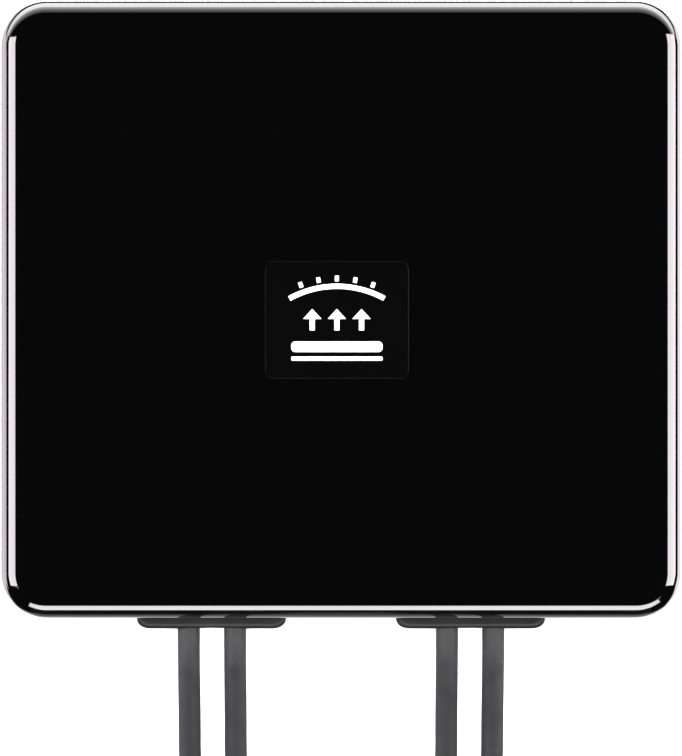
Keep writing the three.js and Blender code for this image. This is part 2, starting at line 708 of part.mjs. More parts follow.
// A lead's end after it leaves its coil's circle, in plan, about the coil's centre: a tighter
// arc, then a straight. The left-hand coil runs clockwise as seen from above.
function endFrame(end) {
  const finish = end.angle - END_TURN;
  const offset = end.radius - END_TURN_RADIUS;
  const hub = [offset * Math.cos(end.angle), offset * Math.sin(end.angle)];
  const heading = [Math.sin(finish), -Math.cos(finish)];
  const arcPoint = (turn) => [
    hub[0] + END_TURN_RADIUS * Math.cos(end.angle - turn),
    hub[1] + END_TURN_RADIUS * Math.sin(end.angle - turn),
  ];
  return { heading, arcPoint };
}

function tailPoints(end) {
  const { heading, arcPoint } = endFrame(end);
  const places = [];
  const bends = 4;
  for (let i = 0; i <= bends; i += 1) {
    places.push(arcPoint(END_TURN * (TAIL_START_TURN + ((1 - TAIL_START_TURN) * i) / bends)));
  }
  const last = places[bends];
  for (const along of [TAIL_STRAIGHT / 2, TAIL_STRAIGHT]) {
    places.push([last[0] + along * heading[0], last[1] + along * heading[1]]);
  }
  const count = places.length - 1;
  return places.map(([x, y], i) => {
    const rise = (1 - Math.cos((Math.PI * i) / count)) / 2;
    return [x, y, TAIL_HEIGHT + (PLUG_HEIGHT - TAIL_HEIGHT) * rise];
  });
}

function coilGroup(side) {
  const group = new THREE.Group();
  group.position.set(side * COIL_CENTRE[0], COIL_CENTRE[1], 0);
  antenna.add(group);
  return group;
}

function addCoil(name, group) {
  const inside = COIL_INNER - COIL_MARGIN;
  const outside = COIL_OUTER + COIL_MARGIN;
  const lip = COIL_LIP;
  const profile = [
    [inside, COIL_BOTTOM + lip], [inside + lip, COIL_BOTTOM], [outside - lip, COIL_BOTTOM],
    [outside, COIL_BOTTOM + lip], [outside, COIL_TOP - lip], [outside - lip, COIL_TOP],
    [inside + lip, COIL_TOP], [inside, COIL_TOP - lip], [inside, COIL_BOTTOM + lip],
  ];
  place(`coil_${name}`, turned(profile, 32), 'jacket', group);
}

function addTie(name, side, group) {
  const inner = Math.sqrt((COIL_INNER - COIL_MARGIN) ** 2 - (TIE_WIDTH / 2) ** 2) - TIE_GAP;
  const outer = COIL_OUTER + COIL_MARGIN + TIE_GAP;
  const low = COIL_BOTTOM - TIE_GAP;
  const high = COIL_TOP + TIE_GAP;
  const middle = (inner + outer) / 2;
  const half = (outer - inner) / 2;
  const centre = (low + high) / 2;
  const tall = (high - low) / 2;
  const bend = TIE_BEND_RADIUS;
  const around = roundedRect(
    2 * (half + TIE_THICKNESS), 2 * (tall + TIE_THICKNESS), bend + TIE_THICKNESS,
  );
  around.holes.push(roundedRect(2 * half, 2 * tall, bend));
  const band = prism(around, -TIE_WIDTH / 2, TIE_WIDTH / 2, 1);
  band.rotateX(Math.PI / 2).translate(middle, 0, centre);
  const tie = place(`coil_tie_${name}`, band, 'tie', group);
  tie.rotation.z = side < 0 ? TIE_ANGLE : Math.PI - TIE_ANGLE;
}

function addPlug(number, place2d, heading, parent) {
  const plug = new THREE.Group();
  plug.position.set(place2d[0], place2d[1], PLUG_HEIGHT);
  plug.rotation.z = Math.atan2(heading[1], heading[0]);
  parent.add(plug);
  const along = (geometry) => geometry.rotateY(Math.PI / 2);

  place(`plug_boot_${number}`, along(turned(BOOT_PROFILE, 12)), 'rubber', plug);
  place(`plug_body_${number}`, along(turned(PLUG_PROFILE, 12)), 'gold', plug);

  const hexRadius = NUT_FLATS / Math.sqrt(3);
  const nutEnd = NUT_START + NUT_LENGTH;
  const hex = toSolid(prism(polygon(hexRadius, 6), NUT_START, nutEnd));
  const nut = cut(
    hex, post(NUT_HOLE_RADIUS, 0, 0, NUT_START - OVERCUT, nutEnd, 18),
    post(NUT_SOCKET_RADIUS, 0, 0, NUT_START + NUT_REAR_WALL, nutEnd + OVERCUT, 18),
  );
  place(`coupling_nut_${number}`, along(toGeometry(nut)), 'nickel', plug);
}

function addLeadEnd(number, end, side, group) {
  const points = tailPoints(end).map(([x, y, z]) => [-side * x, y, z]);
  place(`lead_tail_${number}`, tube(points, LEAD_RADIUS, 10, 8), 'jacket', group);
  const last = points[points.length - 1];
  const { heading } = endFrame(end);
  addPlug(number, last, [-side * heading[0], heading[1]], group);
}

function addPair(name, side, outerNumber, innerNumber) {
  const outer = mirrored(OUTER_ROUTE, side);
  const inner = mirrored(INNER_ROUTE, side);
  place(`outer_lead_${outerNumber}`, tube(outer, LEAD_RADIUS, 10, 12), 'jacket');
  place(`outer_lead_${innerNumber}`, tube(inner, LEAD_RADIUS, 10, 14), 'jacket');
  const group = coilGroup(side);
  addCoil(name, group);
  addTie(name, side, group);
  addLeadEnd(outerNumber, LEAD_ENDS.outer, side, group);
  addLeadEnd(innerNumber, LEAD_ENDS.inner, side, group);
}

addCover();
addBase();
addGaskets();
addPadLabelAndVent();
addHousingScrews();
addGland('cable_gland_left', -GLAND_X);
addGland('cable_gland_right', GLAND_X);
addClamp('cable_clamp_left', -GLAND_X);
addClamp('cable_clamp_right', GLAND_X);
addClampScrews();
addGnss();
addCellular('left', -1);
addCellular('right', 1);
addWifi();
addCores();
addPair('left', -1, 1, 2);
addPair('right', 1, 4, 3);

export default antenna;
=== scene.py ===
"""Looks of a flat, gloss-black panel antenna with two pairs of coax leads.

Shapes are worked out in millimetres and made in metres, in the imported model's own frame:
+Z towards the sky, +X across the housing, and the leads leave towards -Y.
"""

import math

import bmesh
import bpy
from mathutils import Matrix, Vector


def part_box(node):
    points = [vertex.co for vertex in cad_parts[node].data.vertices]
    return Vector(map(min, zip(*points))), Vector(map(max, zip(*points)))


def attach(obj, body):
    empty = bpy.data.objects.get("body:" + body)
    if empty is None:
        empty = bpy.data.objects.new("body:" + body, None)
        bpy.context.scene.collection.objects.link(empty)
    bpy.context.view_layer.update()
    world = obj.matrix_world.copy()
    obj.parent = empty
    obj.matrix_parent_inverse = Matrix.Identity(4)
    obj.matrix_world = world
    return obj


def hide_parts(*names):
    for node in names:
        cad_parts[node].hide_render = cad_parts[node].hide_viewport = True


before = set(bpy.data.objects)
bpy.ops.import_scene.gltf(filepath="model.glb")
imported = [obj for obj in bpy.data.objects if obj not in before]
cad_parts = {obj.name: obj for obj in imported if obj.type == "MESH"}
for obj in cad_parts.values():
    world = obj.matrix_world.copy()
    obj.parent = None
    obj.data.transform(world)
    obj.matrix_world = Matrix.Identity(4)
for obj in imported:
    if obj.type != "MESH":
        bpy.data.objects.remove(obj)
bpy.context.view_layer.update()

MM = 0.001
SIDES = {"left": -1, "right": 1}

# Housing
WALL = 2.5
ROOF = 2.4
CORNER_RADIUS = 10.2
TOP_EDGE_RADIUS = 5.0
TOP_EDGE_LAP = 0.5
LOWER_EDGE = [(0.25, 0), (0.075, 0.08), (0, 0.25), (0, 2)]  # (inset, height) pairs
BOSS_PLACES = [(-65, -58), (-65, 58), (65, -58), (65, 58)]
BOSS_RADIUS = 3.6
BOSS_BORE = 1.8
NOTCH_HALF = 15.2
NOTCH_Y = (-70, -64)
NOTCH_TOP = 11.7

# Glands: a rounded lip outside the wall, a neck through it and a collar behind it
GLAND_X = 28.75
LIP_HALF = 16.5
LIP_CORNER = (2.9, 2.0)  # radii across and deep
LIP_CORNER_SHRINK = 0.6  # for each millimetre of inset
LIP_ROUND = 1.25
LIP_BACK = -68.2
MOUTH_DEPTH = 0.9
MOUTH_FLARE = [(-0.5, 4.15), (0.0, 3.75), (0.12, 3.6), (MOUTH_DEPTH, 3.45)]  # (depth, radius)
BORE_FRONT = 2.62
BORE_BACK = 2.55
NECK_HALF = 15
NECK_HEIGHTS = (4.5, 11.5)
COLLAR_HALF = 16.2
COLLAR_DEPTH = 1.85
PIECE_GAP = 0.05
CUT_PAST = 1

# Leads
LEAD_DIAMETER = 4.95
LEAD_HEIGHT = 8.0
LEAD_PITCH = 10.3

# Coils: the leads of a pair lie one on the other, wind inwards, climb two rows, and wind out.
COIL_CENTRE = (58.0, -149.0)
COIL_INNER = 20.4
COIL_OUTER = 44.6
TURNS_IN = 4.75
TURNS_OUT = 1420 / 360
TURNS_CLIMB = 0.5
CLIMB_DIP = 1.27
OUT_RADIUS = 42.05
EXTRA_TURNS = 0.5
EXTRA_CLIMB = (20 / 360, 120 / 360)  # turns before the climb, and of the climb
FIRST_ROW = 3.5
ROW_STEP = 5.05
TOP_ROW = 3
COIL_STEP_DEGREES = 10
END_TURN_RADIUS = 25.0
END_TURN = math.radians(75)
END_TURN_STEPS = 8
END_STRAIGHT = 5.3
END_RUN_UP = 20.0
PLUG_HEIGHT = 26.15
INTO_BOOT = 3.0
ROUTE_STEP = 2.4

# The left-hand leads from their clamps to their coil; the right-hand ones are mirrored.
OUTER_ROUTE = [
    (-33.9, -52, 8), (-33.9, -62, 8), (-33.9, -72, 7.95), (-33.9, -79, 7.2), (-33.9, -86, 5.3),
    (-33.9, -93, 3.3), (-33.9, -99, 2.52), (-33.57, -103.3, 2.65), (-32.57, -107, 3.1),
    (-30.95, -110.5, 4.2), (-29.0, -113.35, 5.3), (-26.9, -115.6, 6.3), (-22.2, -121.05, 7.9),
    (-18.15, -127.8, 8.45), (-15.3, -135.1, 8.55), (-13.85, -142, 8.55),
]
INNER_ROUTE = [
    (-23.6, -52, 8), (-23.6, -62, 8), (-23.6, -72, 7.95), (-23.6, -79, 7.2), (-23.6, -86, 5.3),
    (-23.6, -93, 3.3), (-23.6, -99, 2.52), (-23.24, -105, 2.5), (-22.22, -111, 2.53),
    (-20.67, -117, 2.6), (-18.82, -123, 2.75), (-16.77, -129.5, 2.95), (-15.0, -136, 3.2),
    (-13.8, -142.5, 3.4),
]

# Each lead: its side, its route, its first row in the coil, and its turns once it is wound out
LEADS = {
    1: {"side": "left", "route": OUTER_ROUTE, "row": 1, "extra": 0},
    2: {"side": "left", "route": INNER_ROUTE, "row": 0, "extra": EXTRA_TURNS},
    3: {"side": "right", "route": INNER_ROUTE, "row": 0, "extra": EXTRA_TURNS},
    4: {"side": "right", "route": OUTER_ROUTE, "row": 1, "extra": 0},
}

# Plugs, along their own axis from the end of the lead. Profiles are (distance, radius) pairs.
BOOT_PROFILE = [
    (0.3, 2.3), (0.3, 2.56), (0.55, 2.72), (1.4, 2.8), (4, 2.84), (7, 2.98), (9, 3.2),
    (10.5, 3.42), (12, 3.56), (13.4, 3.6), (13.8, 3.54), (14, 3.35), (14, 2.6),
]
FERRULE_MOUTH = [(14.3, 2.4), (14.3, 3.0)]
FERRULE_SPAN = (14.4, 18.9)
FERRULE_STEPS = 12
FERRULE_RADIUS = 3.12
CRIMP_SPAN = (14.6, 18.8)
CRIMP_FADE = 0.9
CRIMP_FLAT = 2.95
CRIMP_CORNER = 3.3
SHELL_PROFILE = [
    (19.05, 3.0), (19.1, 3.45), (19.3, 3.65), (19.45, 3.7), (20.4, 3.7), (20.55, 3.6),
    (20.7, 3.5), (21.9, 3.5), (22.05, 3.6), (22.2, 3.7), (23.5, 3.7), (23.7, 3.62),
    (23.8, 3.45), (23.8, 2.6), (23.9, 2.5), (26.2, 2.5), (26.3, 2.6), (26.3, 2.85),
    (26.45, 3.0), (28.2, 3.0), (28.4, 2.8), (28.4, 2.1), (27.6, 2.1),
]
INSULATOR_PROFILE = [(27.62, 2.06), (28.8, 2.06), (28.95, 1.95), (28.95, 0.6)]
PIN_PROFILE = [(27.8, 0.46), (31.5, 0.46), (31.9, 0.42), (32.2, 0.3), (32.35, 0.16), (32.4, 0.05)]
NUT_START = 24.4
NUT_END = 33.4
NUT_FLATS = 8.0
NUT_CHAMFER = [(0, 4.05), (0.25, 4.3), (0.55, 9)]  # (inset from an end, highest radius) pairs
NUT_MOUTH = [(0, 3.5), (0.3, 3.3)]
NUT_BORE = 3.3
NUT_BACK_WALL = 1.6
NUT_BACK_HOLE = 2.8
THREAD_GROOVE = [(0, 3.3), (0.2, 3.06), (0.35, 3.06), (0.55, 3.3)]
THREAD_PITCH = 0.7
THREAD_FROM_FRONT = 0.6
THREAD_FROM_BACK = 2.6

# Ties: a strap round the coil's section, with its end lapped over on top
TIE_TURN = math.radians(40)
TIE_REACH = (15.5, 47.5)  # inside and outside of the coil's section, from the coil's centre
TIE_HEIGHTS = (0.72, 21.5)
TIE_CORNER = 2.6
TIE_WIDTH = 12.0
TIE_THICK = 0.7
TIE_EDGE = 0.2
LAP_START = -9.0
LAP_LENGTH = 21.0
LAP_STEPS = 12
LAP_GAP = 0.05
LAP_LIFT = 0.9
LAP_TIP = 0.15  # the share of the lap that stands up

# Label, and its pictogram about the label's centre
LABEL_CORNER = 1.9
LABEL_BEVEL = [(0, 0.035), (0.0105, 0.0105), (0.035, 0)]  # (inset, drop from the top) pairs
INK_GAP = 0.005
INK_THICK = 0.02
SKY_RADIUS = 22.0
SKY_TOP = 7.9
SKY_THICK = 1.1
SKY_HALF_ANGLE = math.radians(29)
RAY_DEGREES = (-20, -10, 0, 10, 20)
RAY_SPAN = (0.55, 1.75)  # beyond the arc
RAY_HALF = 0.42
ARROW_PLACES = (-5.4, 0, 5.4)
ARROW_HEIGHTS = (-2.3, 0.2, 2.35)  # foot, neck and tip
ARROW_STEM = 0.55
ARROW_HEAD = 2.0
PANEL_BARS = [  # width, height, corner radius, steps in a corner, and place
    (20.0, 2.3, 0.9, 6, -5.9),
    (20.0, 0.9, 0.3, 3, -8.5),
]


# ---------- camera and light ----------

CAMERA_HEIGHT = 750.0
OUTLINE_HEIGHT = 15.0
VIEW_CENTRE = (0.0, -15.05)
VIEW_HEIGHT = 166.8
SENSOR = 36.0
FLOOR_HALF = 4000
FLOOR_HEIGHT = -0.2

# Lights are in metres. A panel's two level edges lie at (y, z) places, as seen from the
# object's middle towards -Y, and the panel is turned about Z afterwards.
NO_TINT = (1, 1, 1)
SIDE_TINT = (1.0, 0.93, 0.98)
FRONT_TINT = (1.0, 0.97, 0.96)
RIM_PANELS = [  # name, degrees, low edge, high edge, width, shift along X, radiance, tint
    ("left", -87, (-0.753, 0.172), (-0.442, 0.483), 0.52, 0, 1.5, SIDE_TINT),
    ("left_near", -90, (-0.0826, 0.0212), (-0.079, 0.0293), 0.1277, 0.0008, 8.5, SIDE_TINT),
    ("right", 90, (-0.696, 0.016), (-0.526, 0.489), 0.55, 0, 1.5, SIDE_TINT),
    ("right_near", 90, (-0.0831, 0.0186), (-0.079, 0.0273), 0.1285, 0, 8.5, SIDE_TINT),
    ("front", 6.5, (-0.868, 0.20), (-0.368, 0.262), 0.68, 0, 1.5, FRONT_TINT),
    ("front_near", 0, (-0.080, 0.0222), (-0.080, 0.0316), 0.1613, 0.0033, 8, FRONT_TINT),
]
BACK_PANEL_Y = -0.67
BACK_PANEL_WIDTH = 3.6
BACK_PANELS = [  # low edge, high edge, radiance
    (0.017, 0.07, 4.8), (0.07, 0.19, 2.4), (0.19, 0.33, 1.15), (0.33, 0.42, 0.6),
]
CARD_HEIGHT = 0.001
FLOOR_CARDS = [  # name, degrees, wall, tint, and each card's near edge, far edge, width, radiance
    ("left", -90, 0.075, SIDE_TINT, [
        (0.004, 0.020, 0.15, 1.5), (0.020, 0.055, 0.15, 3.4), (0.055, 0.30, 0.18, 4.2),
    ]),
    ("right", 90, 0.075, SIDE_TINT, [
        (0.004, 0.018, 0.15, 1.9), (0.018, 0.043, 0.15, 4.0), (0.36, 0.90, 0.26, 9.0),
    ]),
    ("back", 180, 0.068, NO_TINT, [
        (0.014, 0.021, 0.30, 0.6), (0.021, 0.032, 0.30, 4.6), (0.032, 0.08, 0.5, 5.2),
        (0.08, 0.40, 1.4, 7.6),
    ]),
    ("front", 0, 0.068, NO_TINT, [
        (0.004, 0.014, 0.16, 1.0), (0.014, 0.040, 0.16, 0.45), (0.040, 0.60, 0.16, 0.24),
    ]),
]
OVERHEAD_SIZE = 1.3
OVERHEAD_HEIGHT = 1.7
OVERHEAD_RADIANCE = 20
FILL_Y = -0.9
FILL_HEIGHTS = (0.02, 0.40)
FILL_WIDTH = 1.2
FILL_RADIANCE = 16
WORLD_GLOW = 0.008
BACKDROP = (0.95, 0.95, 0.96, 1)


def link(thing):
    bpy.context.collection.objects.link(thing)


def add_camera():
    data = bpy.data.cameras.new("camera")
    data.sensor_width = SENSOR
    data.lens = SENSOR * (CAMERA_HEIGHT - OUTLINE_HEIGHT) / VIEW_HEIGHT
    data.clip_start = 0.01
    data.clip_end = 20
    camera = bpy.data.objects.new("camera", data)
    camera.location = Vector((*VIEW_CENTRE, CAMERA_HEIGHT)) * MM
    link(camera)
    bpy.context.scene.camera = camera


def add_area_light(name, width, height, radiance, tint):
    data = bpy.data.lights.new(name, "AREA")
    data.shape = "RECTANGLE"
    data.size = width
    data.size_y = height
    data.energy = radiance * math.pi * data.size * data.size_y
    data.color = tint
    light = bpy.data.objects.new(name, data)
    light.visible_camera = False
    link(light)
    return light


def add_panel(name, degrees, low_edge, high_edge, width, radiance, tint=NO_TINT, shift=0):
    """A soft box that faces the object and only shows in reflections."""
    low, high = Vector((shift, *low_edge)), Vector((shift, *high_edge))
    across = Vector((1, 0, 0))
    up = (high - low).normalized()
    axes = Matrix((across, up, across.cross(up))).transposed().to_4x4()
    axes.translation = (low + high) / 2
    light = add_area_light(name, width, (high - low).length, radiance, tint)
    light.matrix_world = Matrix.Rotation(math.radians(degrees), 4, "Z") @ axes
    light.visible_diffuse = False
    return light


def add_rim_panels():
    """Soft boxes at both sides and in front, which draw the white lines in the rim: on each
    side a large dim one far away, and a small bright one close to the wall."""
    for name, degrees, low, high, width, shift, radiance, tint in RIM_PANELS:
        add_panel(f"panel_{name}", degrees, low, high, width, radiance, tint, shift)


def add_back_panels():
    """Soft boxes behind the object, which fade upwards."""
    for i, (low, high, radiance) in enumerate(BACK_PANELS):
        edges = (BACK_PANEL_Y, low), (BACK_PANEL_Y, high)
        add_panel(f"panel_back_{i}", 180, *edges, BACK_PANEL_WIDTH, radiance)


def add_floor_cards():
    """Bright cards on the floor, which draw the outer lines in the rim."""
    for name, degrees, wall, tint, cards in FLOOR_CARDS:
        for i, (near, far, width, radiance) in enumerate(cards):
            edges = (-wall - near, CARD_HEIGHT), (-wall - far, CARD_HEIGHT)
            add_panel(f"card_{name}_{i}", degrees, *edges, width, radiance, tint)


def add_overhead():
    """The light for every matt surface and the floor. It doesn't show in reflections."""
    light = add_area_light("overhead", OVERHEAD_SIZE, OVERHEAD_SIZE, OVERHEAD_RADIANCE, NO_TINT)
    light.location = (0, 0, OVERHEAD_HEIGHT)
    light.visible_glossy = False


def add_side_fills():
    """Low lights at both sides for matt surfaces. They don't show in reflections."""
    edges = [(FILL_Y, height) for height in FILL_HEIGHTS]
    for name, side in SIDES.items():
        fill = add_panel(f"fill_{name}", 90 * side, *edges, FILL_WIDTH, FILL_RADIANCE)
        fill.visible_diffuse = True
        fill.visible_glossy = False


def add_lights():
    add_rim_panels()
    add_back_panels()
    add_floor_cards()
    add_overhead()
    add_side_fills()


def add_background(nodes, colour, strength):
    node = nodes.new("ShaderNodeBackground")
    node.inputs["Color"].default_value = colour
    node.inputs["Strength"].default_value = strength
    return node


def add_world():
    """A pale backdrop for the camera, and a faint glow for everything else."""
    world = bpy.data.worlds.new("studio")
    bpy.context.scene.world = world
    world.use_nodes = True
    nodes, links = world.node_tree.nodes, world.node_tree.links
    nodes.clear()
    path = nodes.new("ShaderNodeLightPath")
    glow = add_background(nodes, (1, 1, 1, 1), WORLD_GLOW)
    backdrop = add_background(nodes, BACKDROP, 1.0)
    mix = nodes.new("ShaderNodeMixShader")
    out = nodes.new("ShaderNodeOutputWorld")
    links.new(path.outputs["Is Camera Ray"], mix.inputs["Fac"])
    links.new(glow.outputs["Background"], mix.inputs[1])
    links.new(backdrop.outputs["Background"], mix.inputs[2])
    links.new(mix.outputs["Shader"], out.inputs["Surface"])


# ---------- materials ----------


def principled(name, colour, roughness, metallic=0.0, **sockets):
    material = bpy.data.materials.new(name)
    material.use_nodes = True
    shader = material.node_tree.nodes["Principled BSDF"]
    shader.inputs["Base Color"].default_value = (*colour, 1)
    shader.inputs["Roughness"].default_value = roughness
    shader.inputs["Metallic"].default_value = metallic
    for socket, value in sockets.items():
        shader.inputs[socket.replace("_", " ")].default_value = value
    material.diffuse_color = (*colour, 1)
    return material


def texture(material, kind, scale, stretch=(1, 1, 1), **settings):
    """A texture node in the object's own coordinates; scale is in features per millimetre."""
    nodes, links = material.node_tree.nodes, material.node_tree.links
    coordinates = nodes.new("ShaderNodeTexCoord")
    mapping = nodes.new("ShaderNodeMapping")
    mapping.inputs["Scale"].default_value = stretch
    node = nodes.new(kind)
    node.inputs["Scale"].default_value = scale / MM
    for socket, value in settings.items():
        node.inputs[socket].default_value = value
    links.new(coordinates.outputs["Object"], mapping.inputs["Vector"])
    links.new(mapping.outputs["Vector"], node.inputs["Vector"])
    return node


def noise(material, scale, detail, stretch=(1, 1, 1)):
    return texture(material, "ShaderNodeTexNoise", scale, stretch, Detail=detail)


def value_of(node):
    return node.outputs["Fac"] if "Fac" in node.outputs else node.outputs["Distance"]


def vary_colour(material, node, low, high, start=0.3, end=0.7):
    nodes, links = material.node_tree.nodes, material.node_tree.links
    ramp = nodes.new("ShaderNodeValToRGB")
    ramp.color_ramp.elements[0].position = start
    ramp.color_ramp.elements[0].color = (*low, 1)
    ramp.color_ramp.elements[1].position = end
    ramp.color_ramp.elements[1].color = (*high, 1)
    links.new(value_of(node), ramp.inputs["Fac"])
    links.new(ramp.outputs["Color"], nodes["Principled BSDF"].inputs["Base Color"])


def vary_roughness(material, node, low, high):
    nodes, links = material.node_tree.nodes, material.node_tree.links
    span = nodes.new("ShaderNodeMapRange")
    span.inputs["To Min"].default_value = low
    span.inputs["To Max"].default_value = high
    links.new(value_of(node), span.inputs["Value"])
    links.new(span.outputs["Result"], nodes["Principled BSDF"].inputs["Roughness"])


def add_bump(material, node, depth, strength):
    """Bumps of that depth in millimetres."""
    nodes, links = material.node_tree.nodes, material.node_tree.links
    bump = nodes.new("ShaderNodeBump")
    bump.inputs["Strength"].default_value = strength
    bump.inputs["Distance"].default_value = depth * MM
    links.new(value_of(node), bump.inputs["Height"])
    links.new(bump.outputs["Normal"], nodes["Principled BSDF"].inputs["Normal"])


def shaded(colour, factor):
    return tuple(factor * channel for channel in colour)


def gloss_black():
    colour = (0.0005, 0.0005, 0.00055)
    material = principled("gloss_black", colour, 0.04, Coat_Weight=1.0, Coat_Roughness=0.015)
    vary_roughness(material, noise(material, 0.02, 3.0), 0.03, 0.06)
    return material


def moulded_black():
    material = principled("moulded_black", (0.012, 0.012, 0.013), 0.5)
    spark = noise(material, 2.2, 4.0)
    vary_roughness(material, spark, 0.42, 0.62)
    add_bump(material, spark, 0.05, 0.6)
    patches = noise(material, 0.05, 2.0)
    vary_colour(material, patches, (0.010, 0.010, 0.011), (0.014, 0.014, 0.0155))
    return material


def gland_rubber():
    material = principled("gland_rubber", (0.004, 0.004, 0.0043), 0.4, Specular_IOR_Level=0.29)
    bloom = noise(material, 0.25, 5.0)
    vary_colour(material, bloom, (0.003, 0.003, 0.0032), (0.0055, 0.0055, 0.0058))
    vary_roughness(material, bloom, 0.36, 0.5)
    add_bump(material, noise(material, 3.0, 3.0), 0.02, 0.5)
    return material


def plain_rubber(name, colour, roughness):
    material = principled(name, colour, roughness)
    grain = noise(material, 1.5, 4.0)
    vary_colour(material, grain, shaded(colour, 0.75), shaded(colour, 1.25))
    add_bump(material, grain, 0.03, 0.5)
    return material


def cable_jacket():
    material = principled("cable_jacket", (0.016, 0.016, 0.017), 0.55)
    drag = noise(material, 0.35, 5.0)
    vary_colour(material, drag, (0.013, 0.0132, 0.014), (0.019, 0.0192, 0.0205))
    vary_roughness(material, drag, 0.5, 0.64)
    add_bump(material, noise(material, 4.0, 2.0), 0.015, 0.45)
    return material


def foam_tape():
    material = principled("foam_tape", (0.03, 0.031, 0.032), 0.85)
    cells = texture(material, "ShaderNodeTexVoronoi", 2.5)
    vary_colour(material, cells, (0.022, 0.022, 0.023), (0.045, 0.045, 0.047), 0.1, 0.6)
    add_bump(material, cells, 0.12, 0.8)
    return material


def label_film():
    material = principled("label_film", (0.0007, 0.0007, 0.00075), 0.17)
    film = noise(material, 1.2, 3.0)
    vary_roughness(material, film, 0.15, 0.2)
    add_bump(material, film, 0.004, 0.4)
    return material


def white_ink():
    material = principled("white_ink", (0.82, 0.82, 0.82), 0.5)
    screen = noise(material, 3.0, 3.0)
    vary_colour(material, screen, (0.76, 0.76, 0.76), (0.86, 0.86, 0.86))
    add_bump(material, screen, 0.006, 0.4)
    return material


def strap_weave():
    material = principled("strap_weave", (0.012, 0.012, 0.0125), 0.9, Sheen_Weight=0.35)
    loops = texture(material, "ShaderNodeTexVoronoi", 1.8)
    vary_colour(material, loops, (0.02, 0.02, 0.021), (0.006, 0.006, 0.0065), 0.05, 0.6)
    add_bump(material, loops, 0.25, 0.9)
    return material


def plated(name, colour, low, high):
    material = principled(name, colour, (low + high) / 2, 1.0)
    wear = noise(material, 0.6, 5.0)
    vary_colour(material, wear, shaded(colour, 0.86), colour)
    vary_roughness(material, wear, low, high)
    add_bump(material, noise(material, 5.0, 2.0), 0.004, 0.4)
    return material


def brushed(name, colour):
    material = principled(name, colour, 0.35, 1.0)
    lines = noise(material, 2.0, 4.0, stretch=(0.04, 1, 1))
    vary_roughness(material, lines, 0.28, 0.46)
    add_bump(material, lines, 0.01, 0.6)
    return material


def braid():
    material = principled("braid", (0.55, 0.55, 0.53), 0.4, 1.0)
    wires = texture(material, "ShaderNodeTexVoronoi", 3.0)
    vary_colour(material, wires, (0.6, 0.6, 0.58), (0.2, 0.2, 0.19), 0.1, 0.6)
    add_bump(material, wires, 0.1, 0.8)
    return material


def circuit_board():
    material = principled("circuit_board", (0.012, 0.09, 0.035), 0.35, Coat_Weight=0.3)
    weave = texture(material, "ShaderNodeTexChecker", 0.8)
    weave.inputs["Color1"].default_value = (0.010, 0.080, 0.030, 1)
    weave.inputs["Color2"].default_value = (0.014, 0.100, 0.040, 1)
    shader = material.node_tree.nodes["Principled BSDF"]
    material.node_tree.links.new(weave.outputs["Color"], shader.inputs["Base Color"])
    add_bump(material, weave, 0.008, 0.5)
    return material


def speckled(name, colour, roughness):
    material = principled(name, colour, roughness)
    specks = noise(material, 2.5, 6.0)
    vary_colour(material, specks, shaded(colour, 0.86), colour)
    add_bump(material, specks, 0.02, 0.5)
    return material


def floor_white():
    return principled("floor_white", (0.82, 0.82, 0.825), 0.8, Specular_IOR_Level=0.1)


LOOKS = {
    "cover": gloss_black(),
    "base": moulded_black(),
    "clamp": moulded_black(),
    "gland": gland_rubber(),
    "seal": plain_rubber("seal_rubber", (0.02, 0.02, 0.021), 0.7),
    "boot": plain_rubber("boot_sleeve", (0.010, 0.010, 0.011), 0.42),
    "jacket": cable_jacket(),
    "adhesive": foam_tape(),
    "label": label_film(),
    "ink": white_ink(),
    "tie": strap_weave(),
    "membrane": speckled("vent_film", (0.8, 0.8, 0.78), 0.7),
    "screw": plated("zinc_steel", (0.55, 0.56, 0.58), 0.25, 0.42),
    "plate": brushed("brushed_aluminium", (0.74, 0.75, 0.77)),
    "tin": plated("tin_plate", (0.66, 0.67, 0.65), 0.2, 0.36),
    "board": circuit_board(),
    "copper": plated("bare_copper", (0.78, 0.38, 0.22), 0.22, 0.4),
    "ceramic": speckled("patch_ceramic", (0.62, 0.57, 0.47), 0.5),
    "core": braid(),
    "plug": plated("gold_plate", (0.83, 0.60, 0.26), 0.14, 0.28),
    "nut": plated("nickel_plate", (0.60, 0.585, 0.55), 0.14, 0.3),
    "insulator": speckled("white_insulator", (0.85, 0.85, 0.83), 0.4),
}


# ---------- mesh helpers ----------


def mark_sharp(bm, degrees):
    """Shades a bmesh smooth, except at edges sharper than that."""
    limit = math.radians(degrees)
    for face in bm.faces:
        face.smooth = True
    for edge in bm.edges:
        edge.smooth = len(edge.link_faces) == 2 and edge.calc_face_angle() < limit


def mesh_of(bm, name):
    mesh = bpy.data.meshes.new(name)
    bm.to_mesh(mesh)
    bm.free()
    return mesh


def finish_mesh(name, bm, look, body="housing", sharp=35):
    """Turns a bmesh in metres into a piece that rides on a body."""
    bmesh.ops.remove_doubles(bm, verts=bm.verts, dist=1e-7)
    bmesh.ops.recalc_face_normals(bm, faces=bm.faces)
    mark_sharp(bm, sharp)
    mesh = mesh_of(bm, name)
    mesh.materials.append(LOOKS[look])
    piece = bpy.data.objects.new(name, mesh)
    link(piece)
    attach(piece, body)
    return piece


def loft(bm, loops, start="cap"):
    """Skins loops of equal length, given in millimetres. The start is capped, left open, or
    joined to the end; an end that isn't joined is capped."""
    rings = [[bm.verts.new(Vector(p) * MM) for p in loop] for loop in loops]
    count = len(rings[0])
    pairs = list(zip(rings, rings[1:]))
    if start == "join":
        pairs.append((rings[-1], rings[0]))
    for low, high in pairs:
        for i in range(count):
            j = (i + 1) % count
            bm.faces.new((low[i], low[j], high[j], high[i]))
    if start == "cap":
        bm.faces.new(rings[0])
    if start != "join":
        bm.faces.new(rings[-1])
    return rings


